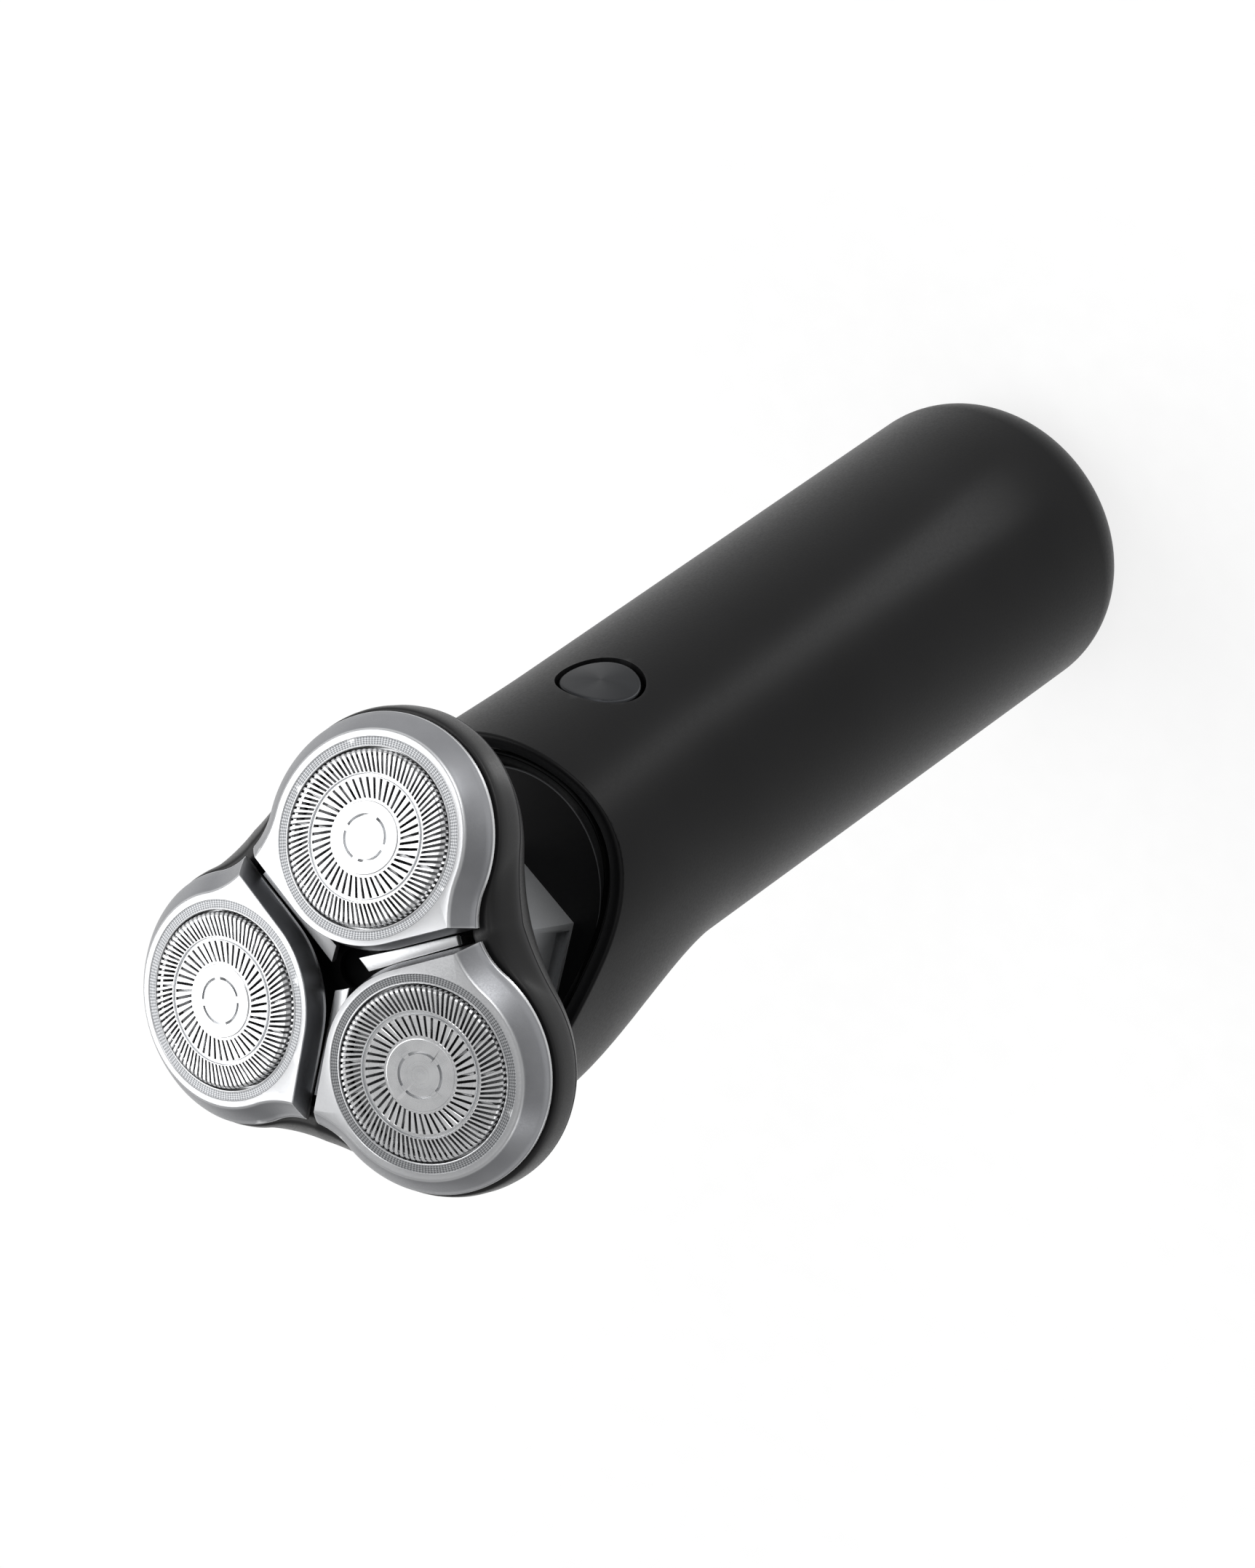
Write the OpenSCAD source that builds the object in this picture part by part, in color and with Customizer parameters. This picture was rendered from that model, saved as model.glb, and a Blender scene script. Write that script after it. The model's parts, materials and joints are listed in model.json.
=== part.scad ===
// Three-head rotary electric shaver, standing on its tail.
// +Z runs up the handle, the power button faces -Y, the origin is the middle of the tail.

/* [Handle] */
// Radius of the round handle
handle_r = 19.2; // [18:0.01:24]
// Rounding between the handle's side and its flat base
tail_round = 9.5; // [3:0.5:12]
// Wall of the handle
wall = 2; // [1.6:0.1:2.2]
// Height from the end of the plain tube to the start of the flare
flare_start = 6; // [4:0.5:10]
// Height over which the flare opens
flare_rise = 30; // [24:1:34]
// How far the flare reaches backwards
flare_back = 10; // [4:0.5:13]
// How far the flare widens each side
flare_side = 1; // [0.5:0.1:3]
// Lowest point of the mouth's rim, at the front, above the plain tube
front_rise = 30; // [28:0.5:34]
// Highest point of the mouth's rim, at the back, above the plain tube
back_rise = 52; // [46:0.5:54]
// Height of the mouth's sloping floor above the plain tube, on the handle's axis
floor_rise = 32; // [30.5:0.5:33]

/* [Power button] */
// Height of the button's middle above the plain tube
button_rise = 10.5; // [6:0.5:14]
// Radius of the button
button_r = 5.05; // [4:0.01:7]
// Gap round the button
button_gap = 0.5; // [0.2:0.05:0.8]
// How far the button goes in
button_travel = 0.6; // [0.3:0.1:1]

/* [Power unit] */
// Radius of the battery cell
cell_r = 9; // [7:0.5:9]
// Length of the battery cell
cell_len = 50; // [40:1:70]
// Radius of the motor
motor_r = 10; // [8:0.5:12]
// Length of the motor
motor_len = 26; // [20:1:32]
// Free length between the cell and the motor; it sets the handle's length
spare_len = 6; // [4:0.5:40]
// Thickness of the circuit board
board_t = 1.2; // [0.8:0.1:1.6]

/* [Head] */
// How far the head leans towards the button
head_tilt = 19.6; // [16:0.2:22]
// Height of the head's middle above the plain tube
head_rise = 65.3; // [63:0.1:70]
// Forward shift of the head's middle
head_y = -3.84; // [-5:0.02:-3]
// Half of the space between neighbouring guards
web = 3.65; // [3.4:0.05:5]
// Outward lean of each cutter
cutter_lean = 9.2; // [6:0.1:11]
// Half of the neck's width across its flats
neck_flat = 11.5; // [11.3:0.1:12.2]

/* [Cutters] */
// Radius of the slotted guard
guard_r = 10.55; // [9.6:0.01:13]
// Slots in the guard's outer track
outer_slots = 36; // [24:1:60]
// Slots in the guard's inner track
inner_slots = 20; // [12:1:30]
// How far the guard stands above its plate
guard_rise = 0.6; // [0:0.05:0.7]
// Radius of the cap in the guard's middle
cap_r = 4.4; // [3.5:0.1:5]
// Height of the cap above the guard
cap_h = 0.15; // [0.1:0.05:0.4]
// Upright edges in the blade's outer track
blade_edges = 15; // [8:1:18]
// Width of the flat rim between the guard and the bevel
rim_w = 2; // [1.6:0.1:2.6]
// Width of the sloping bevel
bevel_w = 2.4; // [1.5:0.1:3]
// Depth of a cutter plate
plate_h = 3.3; // [2.8:0.1:3.6]

/* [Gears] */
// Teeth on the centre gear, a multiple of 3
centre_teeth = 27; // [24:3:30]
// Teeth on each drive gear
drive_teeth = 36; // [33:1:39]
// Thickness of the gears
gear_t = 2.4; // [1.5:0.01:3]

/* [Fits] */
// Running clearance round a pin or shaft
run = 0.06; // [0.03:0.01:0.1]
// Gap between a fixed piece and its seat
seat = 0.15; // [0.1:0.05:0.3]
// Gap between pieces that move past each other
clear = 0.3; // [0.2:0.05:0.5]

/* [Hidden] */
$fn = 96;
SIDES = ["front", "right", "left"];
SIDE_NODES = ["plate", "holder", "guard", "cap", "blade", "hub", "drive_gear", "spring"];

bore_r = handle_r - wall;
// The rim is level in front of this depth, then climbs to the back
rim_start = handle_r - 3.3;
slope = tan(head_tilt);
// Heights up the handle; its length follows from the cell and the motor
cell_low = 20;
motor_low = cell_low + cell_len + spare_len;
motor_top = motor_low + motor_len;
tube_top = motor_top - 16;
flare_low = tube_top + flare_start;
flare_high = flare_low + flare_rise;
rim_front = tube_top + front_rise;
rim_back = tube_top + back_rise;
floor_z = tube_top + floor_rise;
button_z = tube_top + button_rise;
head_z = tube_top + head_rise;
// Distance from the head's middle to each cutter
pitch_r = (guard_r + web) / sin(60);
// The gimbal's middle: the head's axis meets the motor's axis there
motor_y = 3;
gimbal_w = -(motor_y - head_y) / sin(head_tilt);
gimbal_z = head_z + gimbal_w * cos(head_tilt);
seal_z = floor_z + slope * motor_y + 0.3;
// Lower end of the coupling, above the shaft seal
cup_low = seal_z - gimbal_z + 1.7;
// Levels down the head's axis
bar_top = -1.9;
deck_top = -6.1;
deck_t = 0.8;
gear_top = deck_top - deck_t - clear;
gear_low = gear_top - gear_t;
gear_plate_top = gear_low - clear - 0.1;
gear_plate_t = 1.2;
cover_floor = gear_plate_top - gear_plate_t - seat;
cover_low = cover_floor - 1.2;
collar_low = cover_low - 4.5;
// Level where the outer wall of the head meets its lower shell
wall_low = -7.7;
neck_top = collar_low + 1.6;
neck_low = (floor_z - head_z) * cos(head_tilt) + head_y * sin(head_tilt);
neck_corner = neck_flat / cos(30);
// Levels and radii in a cutter's own frame
pivot_h = -3.2;
guard_t = 0.35;
guard_h = 2.4;
flange_r = guard_r + 0.65;
plate_bore = guard_r + 0.25;
plate_top_r = plate_bore + rim_w;
plate_r = plate_top_r + bevel_w;
holder_r = flange_r + 0.7;
blade_top = guard_rise - guard_t - 0.12;
blade_r = guard_r - guard_t - 0.25;
hub_r = 3.6;
hub_low = -4.4;
tip_r = 1.15;
gap_top = 1.5;
gap_low = 0.75;
trunnion_r = 0.7;
post_y = holder_r + clear + 0.5;
// Gears: the pitch circles touch
spindle_r = pitch_r + pivot_h * sin(cutter_lean);
gear_m = 2 * spindle_r / (centre_teeth + drive_teeth);
// Inside of the handle
board_y = -11.5;
board_low = 24;
cell_y = 3.5;
socket_z = 15;
// Where the button's stem meets the switch
plunger_y = board_y - 3.1 - button_travel;

// ---- frames ----
module at_head() translate([0, head_y, head_z]) rotate([head_tilt, 0, 0]) children();
module at_side(i) at_head() rotate([0, 0, 120 * i - 90]) children();
module at_cutter(i) at_side(i) translate([pitch_r, 0, 0]) rotate([0, cutter_lean, 0]) children();
module at_spindle(i) at_side(i) translate([spindle_r, 0, 0]) children();
module at_gimbal() at_head() translate([0, 0, gimbal_w]) children();

// ---- shapes worked out by functions ----
function smooth(t) = let (u = min(1, max(0, t))) u * u * (3 - 2 * u);
function mix(a, b, t) = a + (b - a) * t;

// A closed skin through rings of points; open ends are capped, or the last ring joins the first
module skin(rings, loop = false) {
    n = len(rings[0]);
    m = len(rings);
    pts = [for (r = rings, p = r) p];
    walls = [for (k = [0:m - (loop ? 1 : 2)], i = [0:n - 1], t = [0, 1])
        let (a = k * n + i, b = k * n + (i + 1) % n, k2 = (k + 1) % m,
             c = k2 * n + i, d = k2 * n + (i + 1) % n)
        t == 0 ? [a, d, b] : [a, c, d]];
    caps = loop ? [] : [[for (i = [0:n - 1]) i], [for (i = [n - 1:-1:0]) (m - 1) * n + i]];
    polyhedron(pts, concat(walls, caps));
}

// Handle section at height z, pulled in by off: round in front, drawn out to the back
function flare(z) = smooth((z - flare_low) / (flare_high - flare_low));
function rim(y) = mix(rim_front, rim_back, smooth((y + rim_start) / (2 * handle_r - 2.3)));
function mouth_floor(y) = floor_z + slope * y;
function section(a, z, off) =
    let (x = handle_r + flare_side * flare(z) - off,
         y = (sin(a) < 0 ? handle_r : handle_r + flare_back * flare(z)) - off)
    [x * cos(a), y * sin(a)];
// Height of a ring at one angle: t runs from the level low to the mouth's floor (1) and rim (2)
function level(t, y, low, drop) =
    t <= 1 ? mix(low, mouth_floor(y), t) : mix(mouth_floor(y), rim(y) - drop, t - 1);
function ring_z(a, t, off, low, drop, n, z) =
    n == 0 ? z : ring_z(a, t, off, low, drop, n - 1, level(t, section(a, z, off)[1], low, drop));
function ring(t, off, low = 0, drop = 0, shift = 0) = [for (k = [0:71])
    let (a = 5 * k, z = ring_z(a, t, off, low, drop, 6, floor_z), p = section(a, z, off))
    [p[0], p[1], z + shift]];

// One lobe's outline in its own plan: arc, hollow flank, straight side, arc near the middle
function flank_reach(c, r, rf) = (c + sqrt(4 * pow(r + rf, 2) - 3 * c * c)) / 2;
function lobe_half(c, r, rf, g, closed) =
    let (q = flank_reach(c, r, rf), f = [q / 2 - c, q * sin(60)], a0 = atan2(f[1], f[0]),
         a1 = 240 + asin(g / rf), inner = c * sin(60) - g)
    concat([for (k = [0:14]) let (a = a0 * k / 14) [r * cos(a), r * sin(a)]],
           [for (k = [1:6]) let (a = mix(a0 + 180, a1, k / 6)) f + rf * [cos(a), sin(a)]],
           closed ? [for (k = [1:4]) let (a = mix(150, 180, (k - 1) / 3))
                     inner * [cos(a), sin(a)]] : []);
function mirrored(pts) = [for (i = [len(pts) - 1:-1:1]) [pts[i][0], -pts[i][1]]];
function lobe_half_ring(pts) = concat(mirrored(pts), pts);
// A cutter plate's outline at depth h, in the cutter's frame
function plate_ring(h, r, rf, g) =
    let (c = pitch_r + h * sin(cutter_lean), half = lobe_half(c, r, rf, g, true),
         pts = concat([for (i = [len(half) - 2:-1:1]) [half[i][0], -half[i][1]]], half))
    [for (p = pts) [p[0], p[1], h]];
function circle_ring(h, r, like) = [for (p = like) let (a = atan2(p[1], p[0]))
    [r * cos(a), r * sin(a), h]];
// The whole head's outline: three lobes joined in the hollows, leaning with the cutters
function trefoil(h, r, rf, lean = 1) =
    let (c = pitch_r + h * sin(cutter_lean), half = lobe_half(c, r, rf, 0, false),
         full = concat(mirrored(half), [for (i = [0:len(half) - 2]) half[i]]))
    [for (i = [0:2], p = full) let (a = 120 * i - 90, x = c + p[0], w = h * mix(1, cos(cutter_lean), lean)
        - p[0] * sin(cutter_lean) * lean)
        [x * cos(a) - p[1] * sin(a), x * sin(a) + p[1] * cos(a), w]];
module trefoil_plate(r, rf, low, top) {
    pts = trefoil(low, r, rf, 0);
    translate([0, 0, low]) linear_extrude(top - low) polygon([for (p = pts) [p[0], p[1]]]);
}

// ---- handle ----
module tail_profile(r, round, low, top) {
    union() {
        translate([0, low]) square([r - round, round + 0.01]);
        translate([0, low + round]) square([r, top - low - round]);
        intersection() {
            translate([r - round, low + round]) circle(round);
            translate([0, low]) square([r, round]);
        }
    }
}

module body_shell() color("#2b2c2e") difference() {
    union() {
        rotate_extrude() difference() {
            tail_profile(handle_r, tail_round, 0, tube_top);
            tail_profile(bore_r, max(1, tail_round - wall), wall, tube_top + 1);
        }
        skin(concat(
            [for (t = [0, 0.2, 0.36, 0.52, 0.68, 0.84, 1, 1.5]) ring(t, 0.01, tube_top - 0.5)],
            [ring(2, 0.02, tube_top - 0.5, 0.3), ring(2, 0.35, tube_top - 0.5),
             ring(2, wall, tube_top - 0.5), ring(1.5, wall, tube_top - 0.5)],
            [for (t = [1, 0.84, 0.68, 0.52, 0.36, 0.2, 0]) ring(t, wall - 0.05, tube_top - 0.5)]),
            loop = true);
    }
    translate([0, 0, button_z]) rotate([90, 0, 0]) cylinder(r = button_r + button_gap, h = handle_r + 1);
    translate([0, 0, socket_z]) rotate([-90, 0, 0]) linear_extrude(handle_r + 1) port_outline(0.25);
}

module port_outline(grow) {
    square([6 + 2 * grow, 3.2 + 2 * grow], center = true);
    for (s = [-1, 1]) translate([3 * s, 0]) circle(1.6 + grow);
}

module mouth_liner() color("#0e0f10") skin([
    ring(1.01, wall + seat, tube_top), ring(1.5, wall + seat, tube_top, 0.9),
    ring(2, wall + seat, tube_top, 0.9), ring(2, wall + 0.9, tube_top, 0.9),
    ring(1.5, wall + 1.3, tube_top, 0.9), ring(1.16, wall + 2.2, tube_top, 0.9),
    ring(1.01, wall + 3.6, tube_top, 0.9)], loop = true);

module bulkhead() color("#141516") difference() {
    skin([ring(1, wall + seat, tube_top, 0, -2.2), ring(1, wall + seat, tube_top)]);
    translate([0, motor_y, floor_z - 15]) cylinder(r = 4, h = 40);
    at_neck_screws() cylinder(r = 0.8, h = 8, center = true);
}

module shaft_seal() color("#1c1c1c") translate([0, motor_y, 0]) rotate_extrude() polygon([
    [2.2, seal_z - 3], [3.9, seal_z - 3], [3.9, seal_z], [3, seal_z], [1.1, seal_z - 1.6],
    [1.1, seal_z - 2.2], [2.2, seal_z - 2.2]]);

module at_neck_screws() for (a = [90, 210, 330])
    at_head() rotate([0, 0, a]) translate([neck_flat - 3.5, 0, neck_low]) children();

module neck() color("#6b6d70") difference() {
    at_head() difference() {
        translate([0, 0, neck_low]) rotate([0, 0, 30])
            cylinder(r = neck_corner, h = neck_top - neck_low, $fn = 6);
        translate([0, -4.2, neck_low - 1]) cylinder(r = 4.6, h = 5);
        translate([0, 0, neck_low + 2]) cylinder(r = neck_flat - 1.6, h = 40);
        for (s = [-1, 1]) {
            translate([s * (neck_flat + 0.2), 0, neck_low + 2.1]) cube([1.6, neck_flat, 3], center = true);
            translate([0, 0, gimbal_w]) rotate([0, 90 * s, 0]) cylinder(r = 0.8 + run, h = neck_flat - 0.5);
        }
    }
    at_neck_screws() cylinder(r = 1.1, h = 8, center = true);
}

module neck_screws() color("silver") at_neck_screws() {
    translate([0, 0, -3.2]) cylinder(r = 0.75, h = 5.2);
    translate([0, 0, 2]) rotate_extrude() polygon([[0, 0], [1.7, 0], [1.5, 0.7], [0.8, 1], [0, 1]]);
}

// Inner frame: bottom disc, cradle behind the cell, spine behind the board, motor deck
module chassis() color("#3a3d42") difference() {
    union() {
        for (z = [cell_low - 2, cell_low + cell_len + 0.6, motor_top])
            translate([0, 0, z]) cylinder(r = bore_r - seat, h = 1.6);
        translate([0, cell_y, cell_low - 1]) difference() {
            cylinder(r = cell_r + 1.4, h = cell_len + 2);
            translate([0, 0, -1]) cylinder(r = cell_r + 0.2, h = cell_len + 4);
            translate([-20, -40, -1]) cube([40, 40, cell_len + 4]);
        }
        for (x = [-1, 1]) translate([x * (cell_r + 1.6) - 1, board_y + 3, cell_low - 1])
            cube([2, cell_y - board_y - 2, motor_top - cell_low + 1.2]);
        translate([-cell_r - 2.6, board_y + board_t + 0.6, cell_low - 1])
            cube([2 * cell_r + 5.2, 1.2, motor_top - cell_low + 1.2]);
    }
    translate([-13, board_y - 6, cell_low + cell_len]) cube([26, 6 + board_t + 0.3, 60]);
    translate([-13, board_y - 6, cell_low - 3]) cube([26, 6 + board_t + 0.3, 60]);
    translate([0, motor_y, motor_low - 1.2]) cylinder(r = motor_r + 0.2, h = motor_len + 1.2);
    translate([0, motor_y, motor_top - 1]) cylinder(r = 3.6, h = 4);
    at_motor_screws() cylinder(r = 1.05, h = 10, center = true);
    translate([0, bore_r - 5, cell_low - 3]) cube([16, 12, 4], center = true);
}

module battery_cell() color("#3d6f9e") translate([0, cell_y, cell_low]) rotate_extrude() polygon([
    [0, 0], [cell_r - 0.4, 0], [cell_r, 0.4], [cell_r, cell_len - 2.4], [cell_r - 0.4, cell_len - 2],
    [cell_r - 0.4, cell_len - 1.4], [cell_r, cell_len - 1], [cell_r - 0.4, cell_len - 0.6],
    [2.8, cell_len - 0.6], [2.8, cell_len], [0, cell_len]]);

module battery_tabs() color("silver") for (z = [cell_low - 0.3, cell_low + cell_len])
    translate([-2.5, board_y + board_t + 2, z]) cube([5, cell_y - board_y, 0.3]);

module circuit_board() color("#1f5c38") difference() {
    translate([-11.5, board_y, board_low]) cube([23, board_t, motor_top - board_low + 1]);
    for (x = [-9.5, 9.5]) translate([x, board_y, board_low + 3]) rotate([-90, 0, 0])
        cylinder(r = 1, h = 6, center = true);
}

module board_parts() color("#222222") {
    translate([-4, board_y - 1, 60]) cube([8, 1, 8]);
    translate([-8, board_y - 2.4, 44]) cube([6, 2.4, 6]);
    translate([3, board_y - 1.6, 46]) cube([5, 1.6, 3]);
    translate([-9, board_y - 1.2, 80]) cube([3, 1.2, 2]);
    translate([5, board_y - 1.2, 76]) cube([3.4, 1.2, 4]);
    translate([-3, board_y - 0.8, 74]) cube([3, 0.8, 3]);
}

module power_switch() color("#1a1a1a") difference() {
    translate([-3, board_y - 2.4, button_z - 3]) cube([6, 2.4, 6]);
    translate([0, board_y - 1.2, button_z]) rotate([90, 0, 0]) cylinder(r = 1.7 + run, h = 4);
}

module charging_socket() color("silver") difference() {
    translate([0, bore_r - 6.6, socket_z]) rotate([-90, 0, 0]) linear_extrude(7.6) port_outline(0);
    translate([0, bore_r - 5.4, socket_z]) rotate([-90, 0, 0]) linear_extrude(9) port_outline(-0.35);
}

module socket_seal() color("#161616") translate([0, bore_r - 2.6, socket_z]) rotate([-90, 0, 0])
    difference() {
        linear_extrude(1.4) port_outline(1.4);
        translate([0, 0, -1]) linear_extrude(4) port_outline(0.01);
    }

// ---- motor ----
module at_motor_screws() for (s = [-1, 1]) translate([6.2 * s, motor_y, motor_top + 1.6]) children();

module motor_can() color("#a9abad") difference() {
    translate([0, motor_y, motor_low + 3]) {
        cylinder(r = motor_r, h = motor_len - 3);
        translate([0, 0, motor_len - 3]) cylinder(r = 3, h = 1.4);
    }
    translate([0, motor_y, motor_low + 2]) cylinder(r = motor_r - 0.7, h = motor_len - 4);
    translate([0, motor_y, motor_low]) cylinder(r = 1 + run, h = motor_len + 6);
    at_motor_screws() cylinder(r = 0.8, h = 12, center = true);
}

module motor_magnets() color("#3c3f44") for (s = [0, 180]) translate([0, motor_y, motor_low + 6])
    rotate([0, 0, s - 60]) rotate_extrude(angle = 120)
        translate([motor_r - 2.4, 0]) square([1.65, motor_len - 10]);

module motor_cap() color("#1b1b1b") translate([0, motor_y, motor_low]) difference() {
    union() {
        cylinder(r = motor_r, h = 3);
        cylinder(r = motor_r - 0.75, h = 4.4);
    }
    translate([0, 0, 2.2]) cylinder(r = motor_r - 2, h = 4);
    translate([0, 0, 1]) cylinder(r = 1 + run, h = 4);
}

module motor_screws() color("silver") at_motor_screws() {
    cylinder(r = 1.5, h = 1);
    translate([0, 0, -3.6]) cylinder(r = 0.75, h = 3.7);
}

module motor_shaft() color("silver") translate([0, motor_y, motor_low + 1.2])
    cylinder(r = 1, h = gimbal_z - 5 - motor_low - 1.2);

module armature() color("#8a5a33") translate([0, motor_y, motor_low + 6.5]) difference() {
    cylinder(r = motor_r - 2.8, h = motor_len - 11);
    translate([0, 0, -1]) cylinder(r = 1, h = motor_len);
    for (a = [0, 120, 240]) rotate([0, 0, a]) translate([motor_r - 5.5, -1, -1]) cube([6, 2, motor_len]);
}

// Cup on the motor shaft that holds the centre gear's ball end
module drive_coupling() color("#e5e3dc") translate([0, motor_y, gimbal_z]) difference() {
    rotate_extrude() polygon([[0, cup_low], [2.2, cup_low], [2.8, cup_low + 1.4], [2.8, 1.8], [2.3, 1.8],
        [1.4, 0.3], [1.4, -1.9], [0, -1.9]]);
    translate([0, 0, cup_low - 1]) cylinder(r = 1, h = -4 - cup_low);
}

// ---- power button ----
module power_button() color("#303236") intersection() {
    translate([0, 0, button_z]) rotate([90, 0, 0]) union() {
        translate([0, 0, handle_r - 2.2]) cylinder(r = button_r, h = 3);
        translate([0, 0, -plunger_y]) cylinder(r = 1.5, h = handle_r + plunger_y - 1);
    }
    translate([0, 0, button_z - 20]) cylinder(r = handle_r - 0.2, h = 40);
}

module switch_plunger() color("#c9c9c9") translate([0, plunger_y + 1.7, button_z])
    rotate([90, 0, 0]) cylinder(r = 1.7, h = 1.7);

module button_seal() color("#202020") translate([0, 0, button_z]) rotate([90, 0, 0]) difference() {
    translate([0, 0, sqrt(pow(bore_r, 2) - pow(button_r + 0.7, 2)) - 0.7])
        cylinder(r = button_r + 0.4, h = 0.7);
    translate([0, 0, bore_r - 4]) cylinder(r = 1.5 + run, h = 6);
    translate([0, 0, -plunger_y - 3]) cylinder(r = 1.7 + run, h = 3 + run);
}

// ---- gimbal ----
module gimbal_ring() color("#4a4c50") at_gimbal() difference() {
    translate([0, 0, -1.5]) difference() {
        cylinder(r = 8.4, h = 3);
        translate([0, 0, -1]) cylinder(r = 6.2, h = 5);
    }
    for (a = [0, 180]) rotate([0, 0, a]) translate([6, 0, 0]) rotate([0, 90, 0]) cylinder(r = 0.8, h = 4);
    for (a = [90, 270]) rotate([0, 0, a]) translate([5, 0, 0]) rotate([0, 90, 0])
        cylinder(r = 0.8 + run, h = 4);
}

module pitch_pins() color("silver") at_gimbal() for (a = [0, 180]) rotate([0, 0, a])
    translate([6.4, 0, 0]) rotate([0, 90, 0]) cylinder(r = 0.8, h = neck_flat - 7.2);

module roll_pins() color("silver") at_gimbal() for (a = [90, 270]) rotate([0, 0, a])
    translate([4.6, 0, 0]) rotate([0, 90, 0]) cylinder(r = 0.8, h = 3.5);

// ---- head ----
// Lower shell, with the collar that hides the neck's top and the stem that hangs in the gimbal
module under_cover() color("#26272a") at_head() difference() {
    union() {
        skin([
            trefoil(cover_low, plate_r - 2.8, 36, 0), trefoil(cover_low, plate_r - 1.6, 36, 0),
            trefoil(cover_low + 0.6, plate_r - 0.8, 36, 0),
            trefoil(cover_low + 2.35, plate_r + 0.4, 35, 0.5), trefoil(wall_low, plate_r + 0.9, 35),
            trefoil(wall_low, plate_r - 0.1, 35), trefoil(cover_floor + 1.35, plate_r - 0.8, 35, 0.5),
            trefoil(cover_floor, plate_r - 1.8, 36, 0), trefoil(cover_floor, plate_r - 2.8, 36, 0)],
            loop = true);
        trefoil_plate(plate_r - 2.4, 36, cover_low + 0.1, cover_floor - 0.1);
        translate([0, 0, collar_low]) cylinder(r = neck_corner + 1.9, h = cover_floor - collar_low - 0.5);
        translate([0, 0, gimbal_w - 2.4]) cylinder(r = 5.5, h = cover_floor - gimbal_w + 2);
    }
    difference() {
        translate([0, 0, collar_low - 1]) cylinder(r = neck_corner + 0.9, h = cover_low - collar_low + 1);
        translate([0, 0, gimbal_w - 3]) cylinder(r = 5.5, h = 20);
    }
    translate([0, 0, gimbal_w - 3]) cylinder(r = 4.4, h = cover_low - gimbal_w + 2.6);
    translate([0, 0, cover_low - 2]) cylinder(r = 2, h = 6);
    translate([0, 0, gimbal_w]) for (s = [-1, 1]) rotate([90 * s, 0, 0]) cylinder(r = 0.8, h = 7);
    at_head_screws() cylinder(r = 1.05, h = 30, center = true);
}

module at_head_screws() for (a = [-150, -30, 90]) rotate([0, 0, a])
    translate([neck_corner - 2.08, 0, 0]) children();

// Black outer wall under the steel plates
module head_carrier() color("#232427") at_head() skin([
    trefoil(wall_low, plate_r + 0.9, 35), trefoil(-6.2, plate_r + 0.8, 24),
    trefoil(-4.4, plate_r + 0.5, 14), trefoil(-3.95, plate_r + 0.15, 12.3),
    trefoil(-3.95, plate_r - 1.8, 11), trefoil(-5.2, plate_r - 0.7, 15),
    trefoil(wall_low, plate_r - 0.1, 35)], loop = true);

module gear_plate() color("#3b3d40") at_head() difference() {
    trefoil_plate(plate_r - 2.4, 36, gear_plate_top - gear_plate_t, gear_plate_top);
    translate([0, 0, gear_plate_top - 3]) cylinder(r = 0.8 + run, h = 5);
    for (i = [0:2]) rotate([0, 0, 120 * i - 90]) translate([spindle_r, 0, gear_plate_top - 3])
        cylinder(r = 1 + run, h = 5);
    at_head_screws() cylinder(r = 1.05, h = 40, center = true);
}

// Deck over the gears, with the posts that carry the cutter holders
module head_deck() color("#18191b") {
    difference() {
        union() {
            at_head() trefoil_plate(plate_r - 2.6, 36, deck_top - deck_t, deck_top);
            at_head() at_head_screws() translate([0, 0, gear_plate_top])
                cylinder(r = 1.8, h = deck_top - gear_plate_top - 0.4);
            for (i = [0:2]) at_cutter(i) for (s = [-1, 1]) translate([-1.3, s * post_y - 0.5, -6.6])
                cube([2.6, 1, 4.3]);
        }
        at_head() at_head_screws() translate([0, 0, gear_plate_top - 1])
            cylinder(r = 0.8, h = 3.2);
        for (i = [0:2]) at_spindle(i) translate([0, 0, deck_top - 3]) cylinder(r = 3.2, h = 6);
        for (i = [0:2]) at_cutter(i) for (s = [-1, 1]) translate([0, s * (post_y - 1), pivot_h])
            rotate([-90 * s, 0, 0]) cylinder(r = trunnion_r + run, h = 4);
    }
}

// Steel spider whose three bars fill the gaps between the plates
module blade_frame() color("#c8cacc") at_head() difference() {
    union() {
        translate([0, 0, bar_top - 3.4]) cylinder(r = 3.6, h = 0.8);
        for (a = [-150, -30, 90]) rotate([0, 0, a]) {
            translate([0, 0, bar_top - 1]) linear_extrude(1)
                polygon([[2, 0.95], [2.9, -0.95], [pitch_r - 0.6, -0.62], [pitch_r - 0.6, 0.62]]);
            translate([2.9, -0.4, bar_top - 3]) cube([0.8, 0.8, 2.2]);
            translate([pitch_r - 2.2, -0.5, deck_top]) cube([1.6, 1, bar_top - deck_top - 0.5]);
        }
    }
    translate([0, 0, bar_top - 4]) cylinder(r = 2.5, h = 3.2);
}

module head_screws() color("silver") at_head() at_head_screws() {
    translate([0, 0, cover_low - 0.2]) cylinder(r = 0.75, h = gear_plate_top - cover_low + 1.8);
    translate([0, 0, cover_low - 1]) cylinder(r = 1.7, h = 0.9);
}

// ---- gears ----
// Gear blank with straight-sided teeth; skew turns it into mesh
module gear(teeth, turn) {
    rp = gear_m * teeth / 2;
    a = 360 / teeth;
    rotate([0, 0, turn]) linear_extrude(gear_t) polygon([for (k = [0:teeth - 1],
        v = [[-0.34, -1.15], [-0.2, 0], [-0.09, 0.85], [0.09, 0.85], [0.2, 0], [0.34, -1.15]])
        (rp + v[1] * gear_m) * [cos(a * (k + v[0])), sin(a * (k + v[0]))]]);
}

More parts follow.
